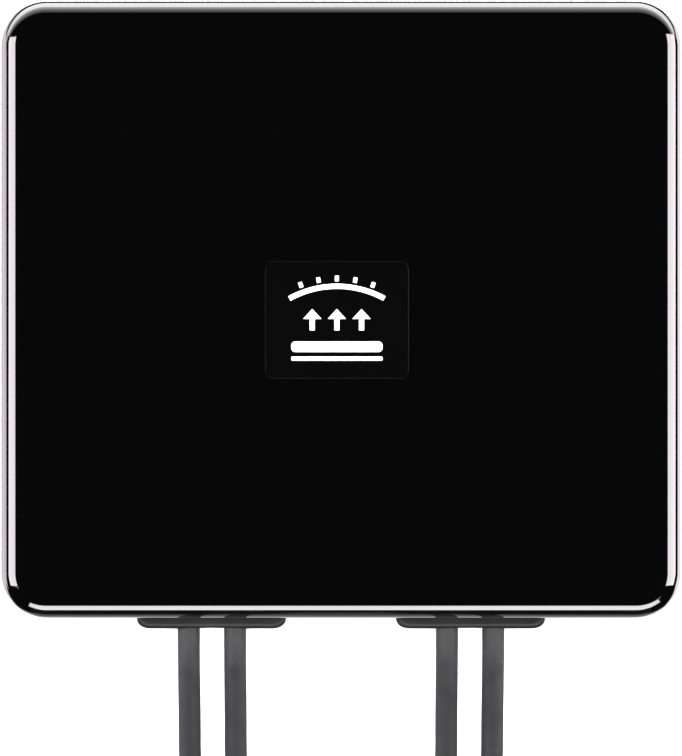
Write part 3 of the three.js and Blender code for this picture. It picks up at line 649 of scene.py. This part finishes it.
def lofted(loops, start="cap"):
    bm = bmesh.new()
    loft(bm, loops, start)
    return bm


def rounded_loop(width, length, radius, z, segments, centre=(0, 0)):
    """A rectangle with rounded corners, each of that many segments."""
    points = []
    corners = ((1, 1), (-1, 1), (-1, -1), (1, -1))
    for quarter, (sx, sy) in enumerate(corners):
        middle = (sx * (width / 2 - radius), sy * (length / 2 - radius))
        for i in range(segments + 1):
            angle = math.pi / 2 * (quarter + i / segments)
            x = centre[0] + middle[0] + radius * math.cos(angle)
            y = centre[1] + middle[1] + radius * math.sin(angle)
            points.append((x, y, z))
    return points


def quarter_round(radius, segments, inset, z):
    """(inset, z) pairs up a quarter round, from the vertical wall to the flat."""
    pairs = []
    for i in range(segments + 1):
        angle = math.pi / 2 * i / segments
        pairs.append((inset + radius * (1 - math.cos(angle)), z + radius * math.sin(angle)))
    return pairs


def ring_about_x(x, radius_at, segments):
    """A loop of points about +X; radius_at gives the radius at an angle."""
    loop = []
    for i in range(segments):
        angle = 2 * math.pi * i / segments
        radius = radius_at(angle)
        loop.append((x, radius * math.cos(angle), radius * math.sin(angle)))
    return loop


def turned(profile, segments):
    """Loops about +X from (x, radius) pairs."""
    return [ring_about_x(x, lambda angle, r=radius: r, segments) for x, radius in profile]


def placed(loops, matrix):
    return [[tuple(matrix @ Vector(point)) for point in loop] for loop in loops]


def hexagon_radius(half_flats, angle):
    """How far a hexagon reaches at an angle, which is 0 at the middle of a flat."""
    step = math.pi / 3
    return half_flats / math.cos((angle + step / 2) % step - step / 2)


def box_mesh(low, high):
    bm = bmesh.new()
    bmesh.ops.create_cube(bm, size=1.0)
    size = [(b - a) * MM for a, b in zip(low, high)]
    middle = [(a + b) / 2 * MM for a, b in zip(low, high)]
    for vert in bm.verts:
        vert.co = Vector([middle[k] + vert.co[k] * size[k] for k in range(3)])
    return bm


def cut_away(piece, cutters):
    """Subtracts cutters, which are bmeshes in metres, from a piece."""
    for bm in cutters:
        bmesh.ops.recalc_face_normals(bm, faces=bm.faces)
        cutter_mesh = mesh_of(bm, "cutter")
        cutter = bpy.data.objects.new("cutter", cutter_mesh)
        link(cutter)
        modifier = piece.modifiers.new("cut", "BOOLEAN")
        modifier.operation = "DIFFERENCE"
        modifier.solver = "EXACT"
        modifier.object = cutter
        bpy.context.view_layer.update()
        graph = bpy.context.evaluated_depsgraph_get()
        result = bpy.data.meshes.new_from_object(piece.evaluated_get(graph))
        piece.modifiers.remove(modifier)
        old = piece.data
        piece.data = result
        result.name = piece.name
        bpy.data.meshes.remove(old)
        bpy.data.objects.remove(cutter)
        bpy.data.meshes.remove(cutter_mesh)


def resharpen(piece, degrees):
    """Marks the sharp edges again after a cut."""
    bm = bmesh.new()
    bm.from_mesh(piece.data)
    mark_sharp(bm, degrees)
    bm.to_mesh(piece.data)
    bm.free()


def refined(node, look, bevel=0.0):
    """A copy of a model part with merged flats, softened edges and smooth rounds."""
    bm = bmesh.new()
    bm.from_mesh(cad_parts[node].data)
    bmesh.ops.remove_doubles(bm, verts=bm.verts, dist=1e-6)
    bmesh.ops.dissolve_limit(
        bm, angle_limit=math.radians(0.5), verts=bm.verts, edges=bm.edges, delimit=set(),
    )
    if bevel:
        limit = math.radians(50)
        edges = [e for e in bm.edges if len(e.link_faces) == 2 and e.calc_face_angle() > limit]
        bmesh.ops.bevel(
            bm, geom=edges, offset=bevel * MM, segments=2, profile=0.5, affect="EDGES",
            clamp_overlap=True,
        )
    piece = finish_mesh(f"{node}_finished", bm, look)
    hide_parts(node)


# ---------- leads ----------


def smooth_step(share):
    return (1 - math.cos(math.pi * min(max(share, 0), 1))) / 2


def coil_radius(along):
    """The radius of a coil that many turns from its start."""
    inward = min(along, TURNS_IN)
    climb = min(max(along - TURNS_IN, 0), TURNS_CLIMB)
    outward = min(max(along - TURNS_IN - TURNS_CLIMB, 0), TURNS_OUT)
    extra = max(along - TURNS_IN - TURNS_CLIMB - TURNS_OUT, 0)
    radius = COIL_OUTER - (COIL_OUTER - COIL_INNER) * inward / TURNS_IN
    radius -= CLIMB_DIP * math.sin(math.pi * climb / TURNS_CLIMB) ** 2
    radius += (OUT_RADIUS - COIL_INNER) * outward / TURNS_OUT
    radius += (COIL_OUTER - OUT_RADIUS) * extra / EXTRA_TURNS
    return radius


def row_height(row):
    return FIRST_ROW + ROW_STEP * row


def coil_height(lead, along):
    extra = along - TURNS_IN - TURNS_CLIMB - TURNS_OUT
    row = lead["row"] + 2 * smooth_step((along - TURNS_IN) / TURNS_CLIMB)
    row += smooth_step((extra - EXTRA_CLIMB[0]) / EXTRA_CLIMB[1])
    return row_height(row)


def turns_of(lead):
    return TURNS_IN + TURNS_CLIMB + TURNS_OUT + lead["extra"]


def end_frame(lead):
    """How a lead leaves its coil, about the coil's centre: start angle, hub and heading."""
    start = -2 * math.pi * turns_of(lead)
    offset = coil_radius(turns_of(lead)) - END_TURN_RADIUS
    hub = Vector((offset * math.cos(start), offset * math.sin(start)))
    finish = start - END_TURN
    heading = Vector((math.sin(finish), -math.cos(finish)))
    return start, hub, heading


def place_on_end_turn(start, hub, turn):
    angle = start - turn
    return hub + END_TURN_RADIUS * Vector((math.cos(angle), math.sin(angle)))


def end_height(distance):
    """Height along a lead's end; distance counts from where it leaves its circle."""
    whole = END_RUN_UP + END_TURN_RADIUS * END_TURN + END_STRAIGHT
    start = row_height(TOP_ROW)
    return start + (PLUG_HEIGHT - start) * smooth_step((distance + END_RUN_UP) / whole)


def coil_points(lead):
    """A lead's points in its coil, about the coil's centre."""
    turns = turns_of(lead)
    count = round(turns * 360 / COIL_STEP_DEGREES)
    points = []
    for i in range(count + 1):
        along = turns * i / count
        radius = coil_radius(along)
        angle = -2 * math.pi * along
        height = coil_height(lead, along)
        left = 2 * math.pi * radius * (turns - along)
        if left < END_RUN_UP:
            height = end_height(-left)
        points.append(Vector((radius * math.cos(angle), radius * math.sin(angle), height)))
    return points


def end_points(lead):
    """A lead's points from its coil into its boot, about the coil's centre."""
    start, hub, heading = end_frame(lead)
    points = []
    for i in range(1, END_TURN_STEPS + 1):
        turn = END_TURN * i / END_TURN_STEPS
        place = place_on_end_turn(start, hub, turn)
        points.append(Vector((*place, end_height(END_TURN_RADIUS * turn))))
    for straight in (END_STRAIGHT / 2, END_STRAIGHT, END_STRAIGHT + INTO_BOOT):
        spot = place + straight * heading
        points.append(Vector((*spot, end_height(END_TURN_RADIUS * END_TURN + straight))))
    return points


def on_coil(side, point):
    """A point about the coil's centre in the whole object's millimetres."""
    return Vector((side * (COIL_CENTRE[0] - point.x), point.y + COIL_CENTRE[1], point.z))


def lead_points(lead):
    """Every point that a lead passes through, in millimetres."""
    side = SIDES[lead["side"]]
    points = [Vector((-side * x, y, z)) for x, y, z in lead["route"]]
    points += [on_coil(side, point) for point in coil_points(lead) + end_points(lead)]
    return points


def smooth_line(points):
    """A smooth line through the points, with a point about every ROUTE_STEP."""
    line = []
    for i in range(len(points) - 1):
        before = points[max(i - 1, 0)]
        a, b = points[i], points[i + 1]
        after = points[min(i + 2, len(points) - 1)]
        pieces = max(1, round((b - a).length / ROUTE_STEP))
        for k in range(pieces):
            t = k / pieces
            line.append(0.5 * (
                2 * a + (b - before) * t + (2 * before - 5 * a + 4 * b - after) * t * t
                + (3 * a - before - 3 * b + after) * t * t * t
            ))
    line.append(points[-1])
    return line


def add_lead(number, lead):
    line = smooth_line(lead_points(lead))
    curve = bpy.data.curves.new(f"lead_{number}", "CURVE")
    curve.dimensions = "3D"
    curve.bevel_depth = LEAD_DIAMETER / 2 * MM
    curve.bevel_resolution = 5
    curve.use_fill_caps = True
    spline = curve.splines.new("POLY")
    spline.points.add(len(line) - 1)
    for point, place in zip(spline.points, line):
        point.co = (*(place * MM), 1)
    spline.use_smooth = True
    curve.materials.append(LOOKS["jacket"])
    piece = bpy.data.objects.new(f"lead_{number}", curve)
    link(piece)
    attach(piece, "housing")
    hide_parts(f"outer_lead_{number}", f"lead_tail_{number}", f"coil_{lead['side']}")
    return piece


# ---------- plugs ----------


def plug_matrix(lead):
    """Places a plug: +X runs along it from the end of its lead, in millimetres."""
    side = SIDES[lead["side"]]
    start, hub, heading = end_frame(lead)
    place = place_on_end_turn(start, hub, END_TURN) + END_STRAIGHT * heading
    x_axis = Vector((-side * heading.x, heading.y, 0))
    z_axis = Vector((0, 0, 1))
    y_axis = z_axis.cross(x_axis)
    matrix = Matrix((x_axis, y_axis, z_axis)).transposed().to_4x4()
    matrix.translation = on_coil(side, Vector((*place, PLUG_HEIGHT)))
    return matrix


def add_turned(name, profile, segments, matrix, look):
    return finish_mesh(name, lofted(placed(turned(profile, segments), matrix)), look)


def add_boot(number, matrix):
    piece = add_turned(f"boot_{number}", BOOT_PROFILE, 40, matrix, "boot")
    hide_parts(f"plug_boot_{number}")
    return piece


def crimp_radius(x, angle):
    """The ferrule's hexagonal crimp, which fades out towards both of its ends."""
    hexagon = min(hexagon_radius(CRIMP_FLAT, angle), CRIMP_CORNER)
    fade_in = smooth_step((x - CRIMP_SPAN[0]) / CRIMP_FADE)
    fade_out = smooth_step((CRIMP_SPAN[1] - x) / CRIMP_FADE)
    return FERRULE_RADIUS + fade_in * fade_out * (hexagon - FERRULE_RADIUS)


def add_shell(number, matrix):
    """The plug's ferrule, body, neck and retaining flange."""
    segments = 72
    loops = turned(FERRULE_MOUTH, segments)
    for i in range(FERRULE_STEPS + 1):
        x = FERRULE_SPAN[0] + (FERRULE_SPAN[1] - FERRULE_SPAN[0]) * i / FERRULE_STEPS
        loops.append(ring_about_x(x, lambda angle, x=x: crimp_radius(x, angle), segments))
    loops += turned(SHELL_PROFILE, segments)
    bm = lofted(placed(loops, matrix))
    piece = finish_mesh(f"plug_shell_{number}", bm, "plug", sharp=30)
    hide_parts(f"plug_body_{number}")
    return piece


def add_insulator(number, matrix):
    return add_turned(f"insulator_{number}", INSULATOR_PROFILE, 40, matrix, "insulator")


def add_pin(number, matrix):
    return add_turned(f"pin_{number}", PIN_PROFILE, 24, matrix, "plug")


def nut_radius(angle, cap):
    """The radius of the nut's hexagon at an angle, no more than its turned chamfer leaves."""
    return min(hexagon_radius(NUT_FLATS / 2, angle + math.pi / 6), cap)


def nut_outside():
    """(x, cap) pairs along the nut's outside, with a chamfer at both ends."""
    back = [(NUT_START + inset, cap) for inset, cap in NUT_CHAMFER]
    front = [(NUT_END - inset, cap) for inset, cap in reversed(NUT_CHAMFER)]
    return back + front


def nut_inside():
    """(x, radius) pairs from the nut's mouth through its thread to the hole in its back."""
    pairs = [(NUT_END - depth, radius) for depth, radius in NUT_MOUTH]
    x = NUT_END - THREAD_FROM_FRONT
    while x > NUT_START + THREAD_FROM_BACK:
        pairs += [(x - depth, radius) for depth, radius in THREAD_GROOVE]
        x -= THREAD_PITCH
    wall = NUT_START + NUT_BACK_WALL
    return pairs + [(wall, NUT_BORE), (wall, NUT_BACK_HOLE), (NUT_START, NUT_BACK_HOLE)]


def add_nut(number, matrix):
    segments = 96
    loops = []
    for x, cap in nut_outside():
        loops.append(ring_about_x(x, lambda angle, cap=cap: nut_radius(angle, cap), segments))
    loops += turned(nut_inside(), segments)
    bm = lofted(placed(loops, matrix), start="join")
    piece = finish_mesh(f"nut_{number}_hex", bm, "nut", body=f"nut_{number}", sharp=25)
    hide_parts(f"coupling_nut_{number}")
    return piece


# ---------- ties ----------


def tie_matrix(side):
    """Places a tie, whose section is drawn in X and Z about the middle of the coil's section."""
    turn = -TIE_TURN if side < 0 else math.pi + TIE_TURN
    centre = Vector((side * COIL_CENTRE[0], COIL_CENTRE[1], 0))
    middle = Vector((sum(TIE_REACH) / 2, 0, sum(TIE_HEIGHTS) / 2))
    swing = Matrix.Translation(centre) @ Matrix.Rotation(turn, 4, "Z")
    return swing @ Matrix.Translation(middle)


def strap_section(x, z, out_x, out_z):
    """The strap's cross section at one place along it, with its edges rounded."""
    half, edge, thick = TIE_WIDTH / 2, TIE_EDGE, TIE_THICK
    outline = [(-half, edge), (-half + edge, 0), (half - edge, 0), (half, edge),
               (half, thick - edge), (half - edge, thick), (-half + edge, thick),
               (-half, thick - edge)]
    return [(x + out_x * depth, y, z + out_z * depth) for y, depth in outline]


def strap_loops():
    path = rounded_loop(
        TIE_REACH[1] - TIE_REACH[0], TIE_HEIGHTS[1] - TIE_HEIGHTS[0], TIE_CORNER, 0, 6,
    )
    loops = []
    for i, (x, z, _) in enumerate(path):
        ahead, behind = path[(i + 1) % len(path)], path[i - 1]
        tangent = Vector((ahead[0] - behind[0], ahead[1] - behind[1])).normalized()
        loops.append(strap_section(x, z, tangent.y, -tangent.x))
    return loops


def lap_loops():
    """The strap's end on top of it, whose tip stands up a little."""
    top = (TIE_HEIGHTS[1] - TIE_HEIGHTS[0]) / 2 + TIE_THICK
    loops = []
    for i in range(LAP_STEPS + 1):
        share = i / LAP_STEPS
        lift = LAP_GAP + LAP_LIFT * max(0.0, 1 - share / LAP_TIP) ** 2
        loops.append(strap_section(LAP_START + LAP_LENGTH * share, top + lift, 0, 1))
    return loops


def add_tie(name):
    """A hook-and-loop strap round the coil's section, with its end lapped over on top."""
    matrix = tie_matrix(SIDES[name])
    strap_mesh = lofted(placed(strap_loops(), matrix), start="join")
    strap = finish_mesh(f"tie_strap_{name}", strap_mesh, "tie")
    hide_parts(f"coil_tie_{name}")
    lap = finish_mesh(f"tie_lap_{name}", lofted(placed(lap_loops(), matrix)), "tie")
    return [strap, lap]


# ---------- housing ----------


def cover_outside(bottom, top):
    """(inset, z) pairs up the cover's outside, on to the flat of its top."""
    pairs = [(inset, bottom + height) for inset, height in LOWER_EDGE]
    pairs += quarter_round(TOP_EDGE_RADIUS, 28, 0, top - TOP_EDGE_RADIUS)
    pairs.append((TOP_EDGE_RADIUS + TOP_EDGE_LAP, top))
    return pairs


def cover_inside(bottom, top):
    """(inset, z) pairs up the cover's inside, on to the underside of its roof."""
    radius = TOP_EDGE_RADIUS - WALL
    pairs = [(WALL, bottom), (WALL, bottom + 1)]
    pairs += quarter_round(radius, 8, WALL, top - ROOF - radius)
    return pairs


def add_cover_shell(width, length, bottom, top):
    def skin(bm, pairs):
        loops = []
        for inset, z in pairs:
            size = (width - 2 * inset, length - 2 * inset)
            loops.append(rounded_loop(*size, CORNER_RADIUS - inset, z, 24))
        return loft(bm, loops, start="open")[0]

    bm = bmesh.new()
    outside = skin(bm, cover_outside(bottom, top))
    inside = skin(bm, cover_inside(bottom, top))
    for i in range(len(outside)):
        j = (i + 1) % len(outside)
        bm.faces.new((outside[i], outside[j], inside[j], inside[i]))
    piece = finish_mesh("cover_shell", bm, "cover", sharp=50)
    notches = []
    for side in SIDES.values():
        low = (side * GLAND_X - NOTCH_HALF, NOTCH_Y[0], bottom - CUT_PAST)
        high = (side * GLAND_X + NOTCH_HALF, NOTCH_Y[1], NOTCH_TOP)
        notches.append(box_mesh(low, high))
    cut_away(piece, notches)
    resharpen(piece, 50)
    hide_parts("top_cover")


def add_cover_bosses(bottom, top):
    """The hollow posts under the roof that the housing screws bite into."""
    under_roof = top - ROOF
    profile = [(bottom, BOSS_BORE), (bottom, BOSS_RADIUS)]
    profile += [(under_roof, BOSS_RADIUS), (under_roof, BOSS_BORE)]
    bm = bmesh.new()
    for x, y in BOSS_PLACES:
        stand = Matrix.Translation((x, y, 0)) @ Matrix.Rotation(-math.pi / 2, 4, "Y")
        loft(bm, placed(turned(profile, 32), stand), start="join")
    finish_mesh("cover_bosses", bm, "cover")


def add_cover():
    low, high = (Vector(corner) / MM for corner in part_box("top_cover"))
    add_cover_shell(high.x - low.x, high.y - low.y, low.z, high.z)
    add_cover_bosses(low.z, high.z)


def lip_loop(gland_x, inset, z, front):
    """A level outline of a gland's lip: rounded at the front, and square at the wall."""
    half = LIP_HALF - inset
    across, deep = (radius - inset * LIP_CORNER_SHRINK for radius in LIP_CORNER)
    steps = 12
    points = []
    for side, first in ((-1, math.pi), (1, 1.5 * math.pi)):
        for i in range(steps + 1):
            angle = first + math.pi / 2 * i / steps
            x = side * (half - across) + across * math.cos(angle)
            points.append((x, front + inset + deep + deep * math.sin(angle)))
    points += [(half, LIP_BACK), (-half, LIP_BACK)]
    return [(gland_x + x, y, z) for x, y in points]


def lip_levels(bottom, top):
    """(inset, z) pairs up a lip, whose lower and upper edges are rounded."""
    steps = 6
    angles = [math.pi / 2 * i / steps for i in range(steps + 1)]
    levels = [(LIP_ROUND * (1 - math.sin(a)), bottom + LIP_ROUND * (1 - math.cos(a)))
              for a in angles]
    levels += [(LIP_ROUND * (1 - math.cos(a)), top - LIP_ROUND * (1 - math.sin(a)))
               for a in angles]
    return levels


def mouth_cutter(gland_x, front):
    """A stadium recess with a flared mouth, round both leads."""
    half = LEAD_PITCH / 2
    steps = 16
    loops = []
    for depth, radius in MOUTH_FLARE:
        loop = []
        for centre, first in ((half, -math.pi / 2), (-half, math.pi / 2)):
            for i in range(steps + 1):
                angle = first + math.pi * i / steps
                x = gland_x + centre + radius * math.cos(angle)
                loop.append((x, front + depth, LEAD_HEIGHT + radius * math.sin(angle)))
        loops.append(loop)
    return lofted(loops)


def bore_cutters(gland_x, front, back):
    """Both leads' holes, right through a gland."""
    profile = [(front - CUT_PAST, BORE_FRONT), (front + MOUTH_DEPTH, BORE_FRONT)]
    profile.append((back + CUT_PAST, BORE_BACK))
    cutters = []
    for side in (-1, 1):
        x = gland_x + side * LEAD_PITCH / 2
        turn = Matrix.Translation((x, 0, LEAD_HEIGHT)) @ Matrix.Rotation(math.pi / 2, 4, "Z")
        cutters.append(lofted(placed(turned(profile, 40), turn)))
    return cutters


def add_gland(name):
    node = f"cable_gland_{name}"
    low, high = (Vector(corner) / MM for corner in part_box(node))
    x, front, back = SIDES[name] * GLAND_X, low.y, high.y
    levels = lip_levels(low.z, high.z)
    loops = [lip_loop(x, inset, z, front) for inset, z in levels]
    lip = finish_mesh(f"gland_{name}", lofted(loops), "gland", sharp=50)
    cut_away(lip, [mouth_cutter(x, front), *bore_cutters(x, front, back)])
    resharpen(lip, 50)
    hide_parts(node)

    neck_back = back - COLLAR_DEPTH - PIECE_GAP
    neck_mesh = box_mesh(
        (x - NECK_HALF, LIP_BACK + PIECE_GAP, NECK_HEIGHTS[0]),
        (x + NECK_HALF, neck_back, NECK_HEIGHTS[1]),
    )
    neck = finish_mesh(f"gland_neck_{name}", neck_mesh, "gland")
    cut_away(neck, bore_cutters(x, front, back))
    collar_mesh = box_mesh(
        (x - COLLAR_HALF, back - COLLAR_DEPTH, low.z), (x + COLLAR_HALF, back, high.z),
    )
    collar = finish_mesh(f"gland_collar_{name}", collar_mesh, "gland")
    cut_away(collar, bore_cutters(x, front, back))


# ---------- label ----------


def add_label():
    low, high = (Vector(corner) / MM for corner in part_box("sky_label"))
    width, length, _ = high - low
    centre = (high + low) / 2
    top = high.z
    bevel = [(inset, top - drop) for inset, drop in LABEL_BEVEL]
    loops = []
    for inset, z in [(0, low.z), *bevel]:
        size = (width - 2 * inset, length - 2 * inset)
        loops.append(rounded_loop(*size, LABEL_CORNER - inset, z, 10, centre))
    piece = finish_mesh("label_film", lofted(loops), "label", sharp=60)
    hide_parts("sky_label")
    add_pictogram(centre, top)


def ink_plate(bm, outline, centre, z):
    """A flat patch of ink from (x, y) points about the label's centre."""
    loops = []
    for height in (z + INK_GAP, z + INK_GAP + INK_THICK):
        loops.append([(centre[0] + x, centre[1] + y, height) for x, y in outline])
    loft(bm, loops)


def on_sky(radius, lean):
    """A point at a radius about the sky's centre, leaning from straight up towards +X."""
    middle = SKY_TOP - SKY_RADIUS
    return Vector((radius * math.sin(lean), middle + radius * math.cos(lean)))


def sky_outline():
    steps = 20
    points = []
    for radius, way in ((SKY_RADIUS, 1), (SKY_RADIUS - SKY_THICK, -1)):
        for i in range(steps + 1):
            points.append(on_sky(radius, way * SKY_HALF_ANGLE * (1 - 2 * i / steps)))
    return points


def ray_outline(degrees):
    lean = math.radians(degrees)
    foot, tip = (on_sky(SKY_RADIUS + reach, lean) for reach in RAY_SPAN)
    across = RAY_HALF * Vector((-math.cos(lean), math.sin(lean)))
    return [foot - across, tip - across, tip + across, foot + across]


def arrow_outline(x):
    foot, neck, tip = ARROW_HEIGHTS
    stem, head = ARROW_STEM, ARROW_HEAD
    return [(x - stem, foot), (x + stem, foot), (x + stem, neck), (x + head, neck), (x, tip),
            (x - head, neck), (x - stem, neck)]


def bar_outline(width, height, radius, steps, y):
    return [(px, py) for px, py, _ in rounded_loop(width, height, radius, 0, steps, (0, y))]


def add_pictogram(centre, z):
    """An arc of sky with rays, arrows that point up to it, and the panel below them."""
    outlines = [sky_outline()]
    outlines += [ray_outline(degrees) for degrees in RAY_DEGREES]
    outlines += [arrow_outline(x) for x in ARROW_PLACES]
    outlines += [bar_outline(*bar) for bar in PANEL_BARS]
    bm = bmesh.new()
    for outline in outlines:
        ink_plate(bm, outline, centre, z)
    finish_mesh("label_pictogram", bm, "ink", sharp=50)


# ---------- parts that keep the model's shape ----------


def finish_model_parts():
    refined("base_tray", "base", bevel=0.12)
    refined("adhesive_pad", "adhesive", bevel=0.15)
    for node in ("gasket_main", "gasket_bridge"):
        refined(node, "seal", bevel=0.15)
    refined("vent_membrane", "membrane", bevel=0.05)
    refined("gnss_ground_plate", "plate", bevel=0.08)
    refined("gnss_board", "board", bevel=0.06)
    refined("gnss_shield_can", "tin", bevel=0.12)
    refined("gnss_patch", "ceramic", bevel=0.15)
    refined("gnss_feed_pin", "tin", bevel=0.04)
    refined("wifi_board", "board", bevel=0.06)
    refined("wifi_radiator", "copper", bevel=0.04)
    for name in SIDES:
        refined(f"cable_clamp_{name}", "clamp", bevel=0.3)
        refined(f"cellular_board_{name}", "board", bevel=0.06)
        refined(f"cellular_radiator_{name}", "copper", bevel=0.04)
    for number in LEADS:
        refined(f"housing_screw_{number}", "screw", bevel=0.08)
        refined(f"clamp_screw_{number}", "screw", bevel=0.08)
        refined(f"inner_lead_{number}", "core")


# ---------- the whole scene ----------


def add_leads_and_plugs():
    ties = {name: add_tie(name) for name in SIDES}
    for number, lead in LEADS.items():
        cord = add_lead(number, lead)
        matrix = plug_matrix(lead)
        builders = (add_boot, add_shell, add_insulator, add_pin, add_nut)
        on_it = [build(number, matrix) for build in builders]
        if lead["row"] == 1:
            on_it += ties[lead["side"]]


def add_floor():
    bm = bmesh.new()
    for x, y in ((-1, -1), (1, -1), (1, 1), (-1, 1)):
        bm.verts.new(Vector((x * FLOOR_HALF, y * FLOOR_HALF, FLOOR_HEIGHT)) * MM)
    bm.faces.new(bm.verts)
    mesh = mesh_of(bm, "floor")
    mesh.materials.append(floor_white())
    floor = bpy.data.objects.new("floor", mesh)
    link(floor)
    floor.visible_glossy = False


add_camera()
add_leads_and_plugs()
add_cover()
for gland in SIDES:
    add_gland(gland)
add_label()
finish_model_parts()
add_floor()
add_lights()
add_world()
bpy.context.scene.view_settings.view_transform = "Standard"
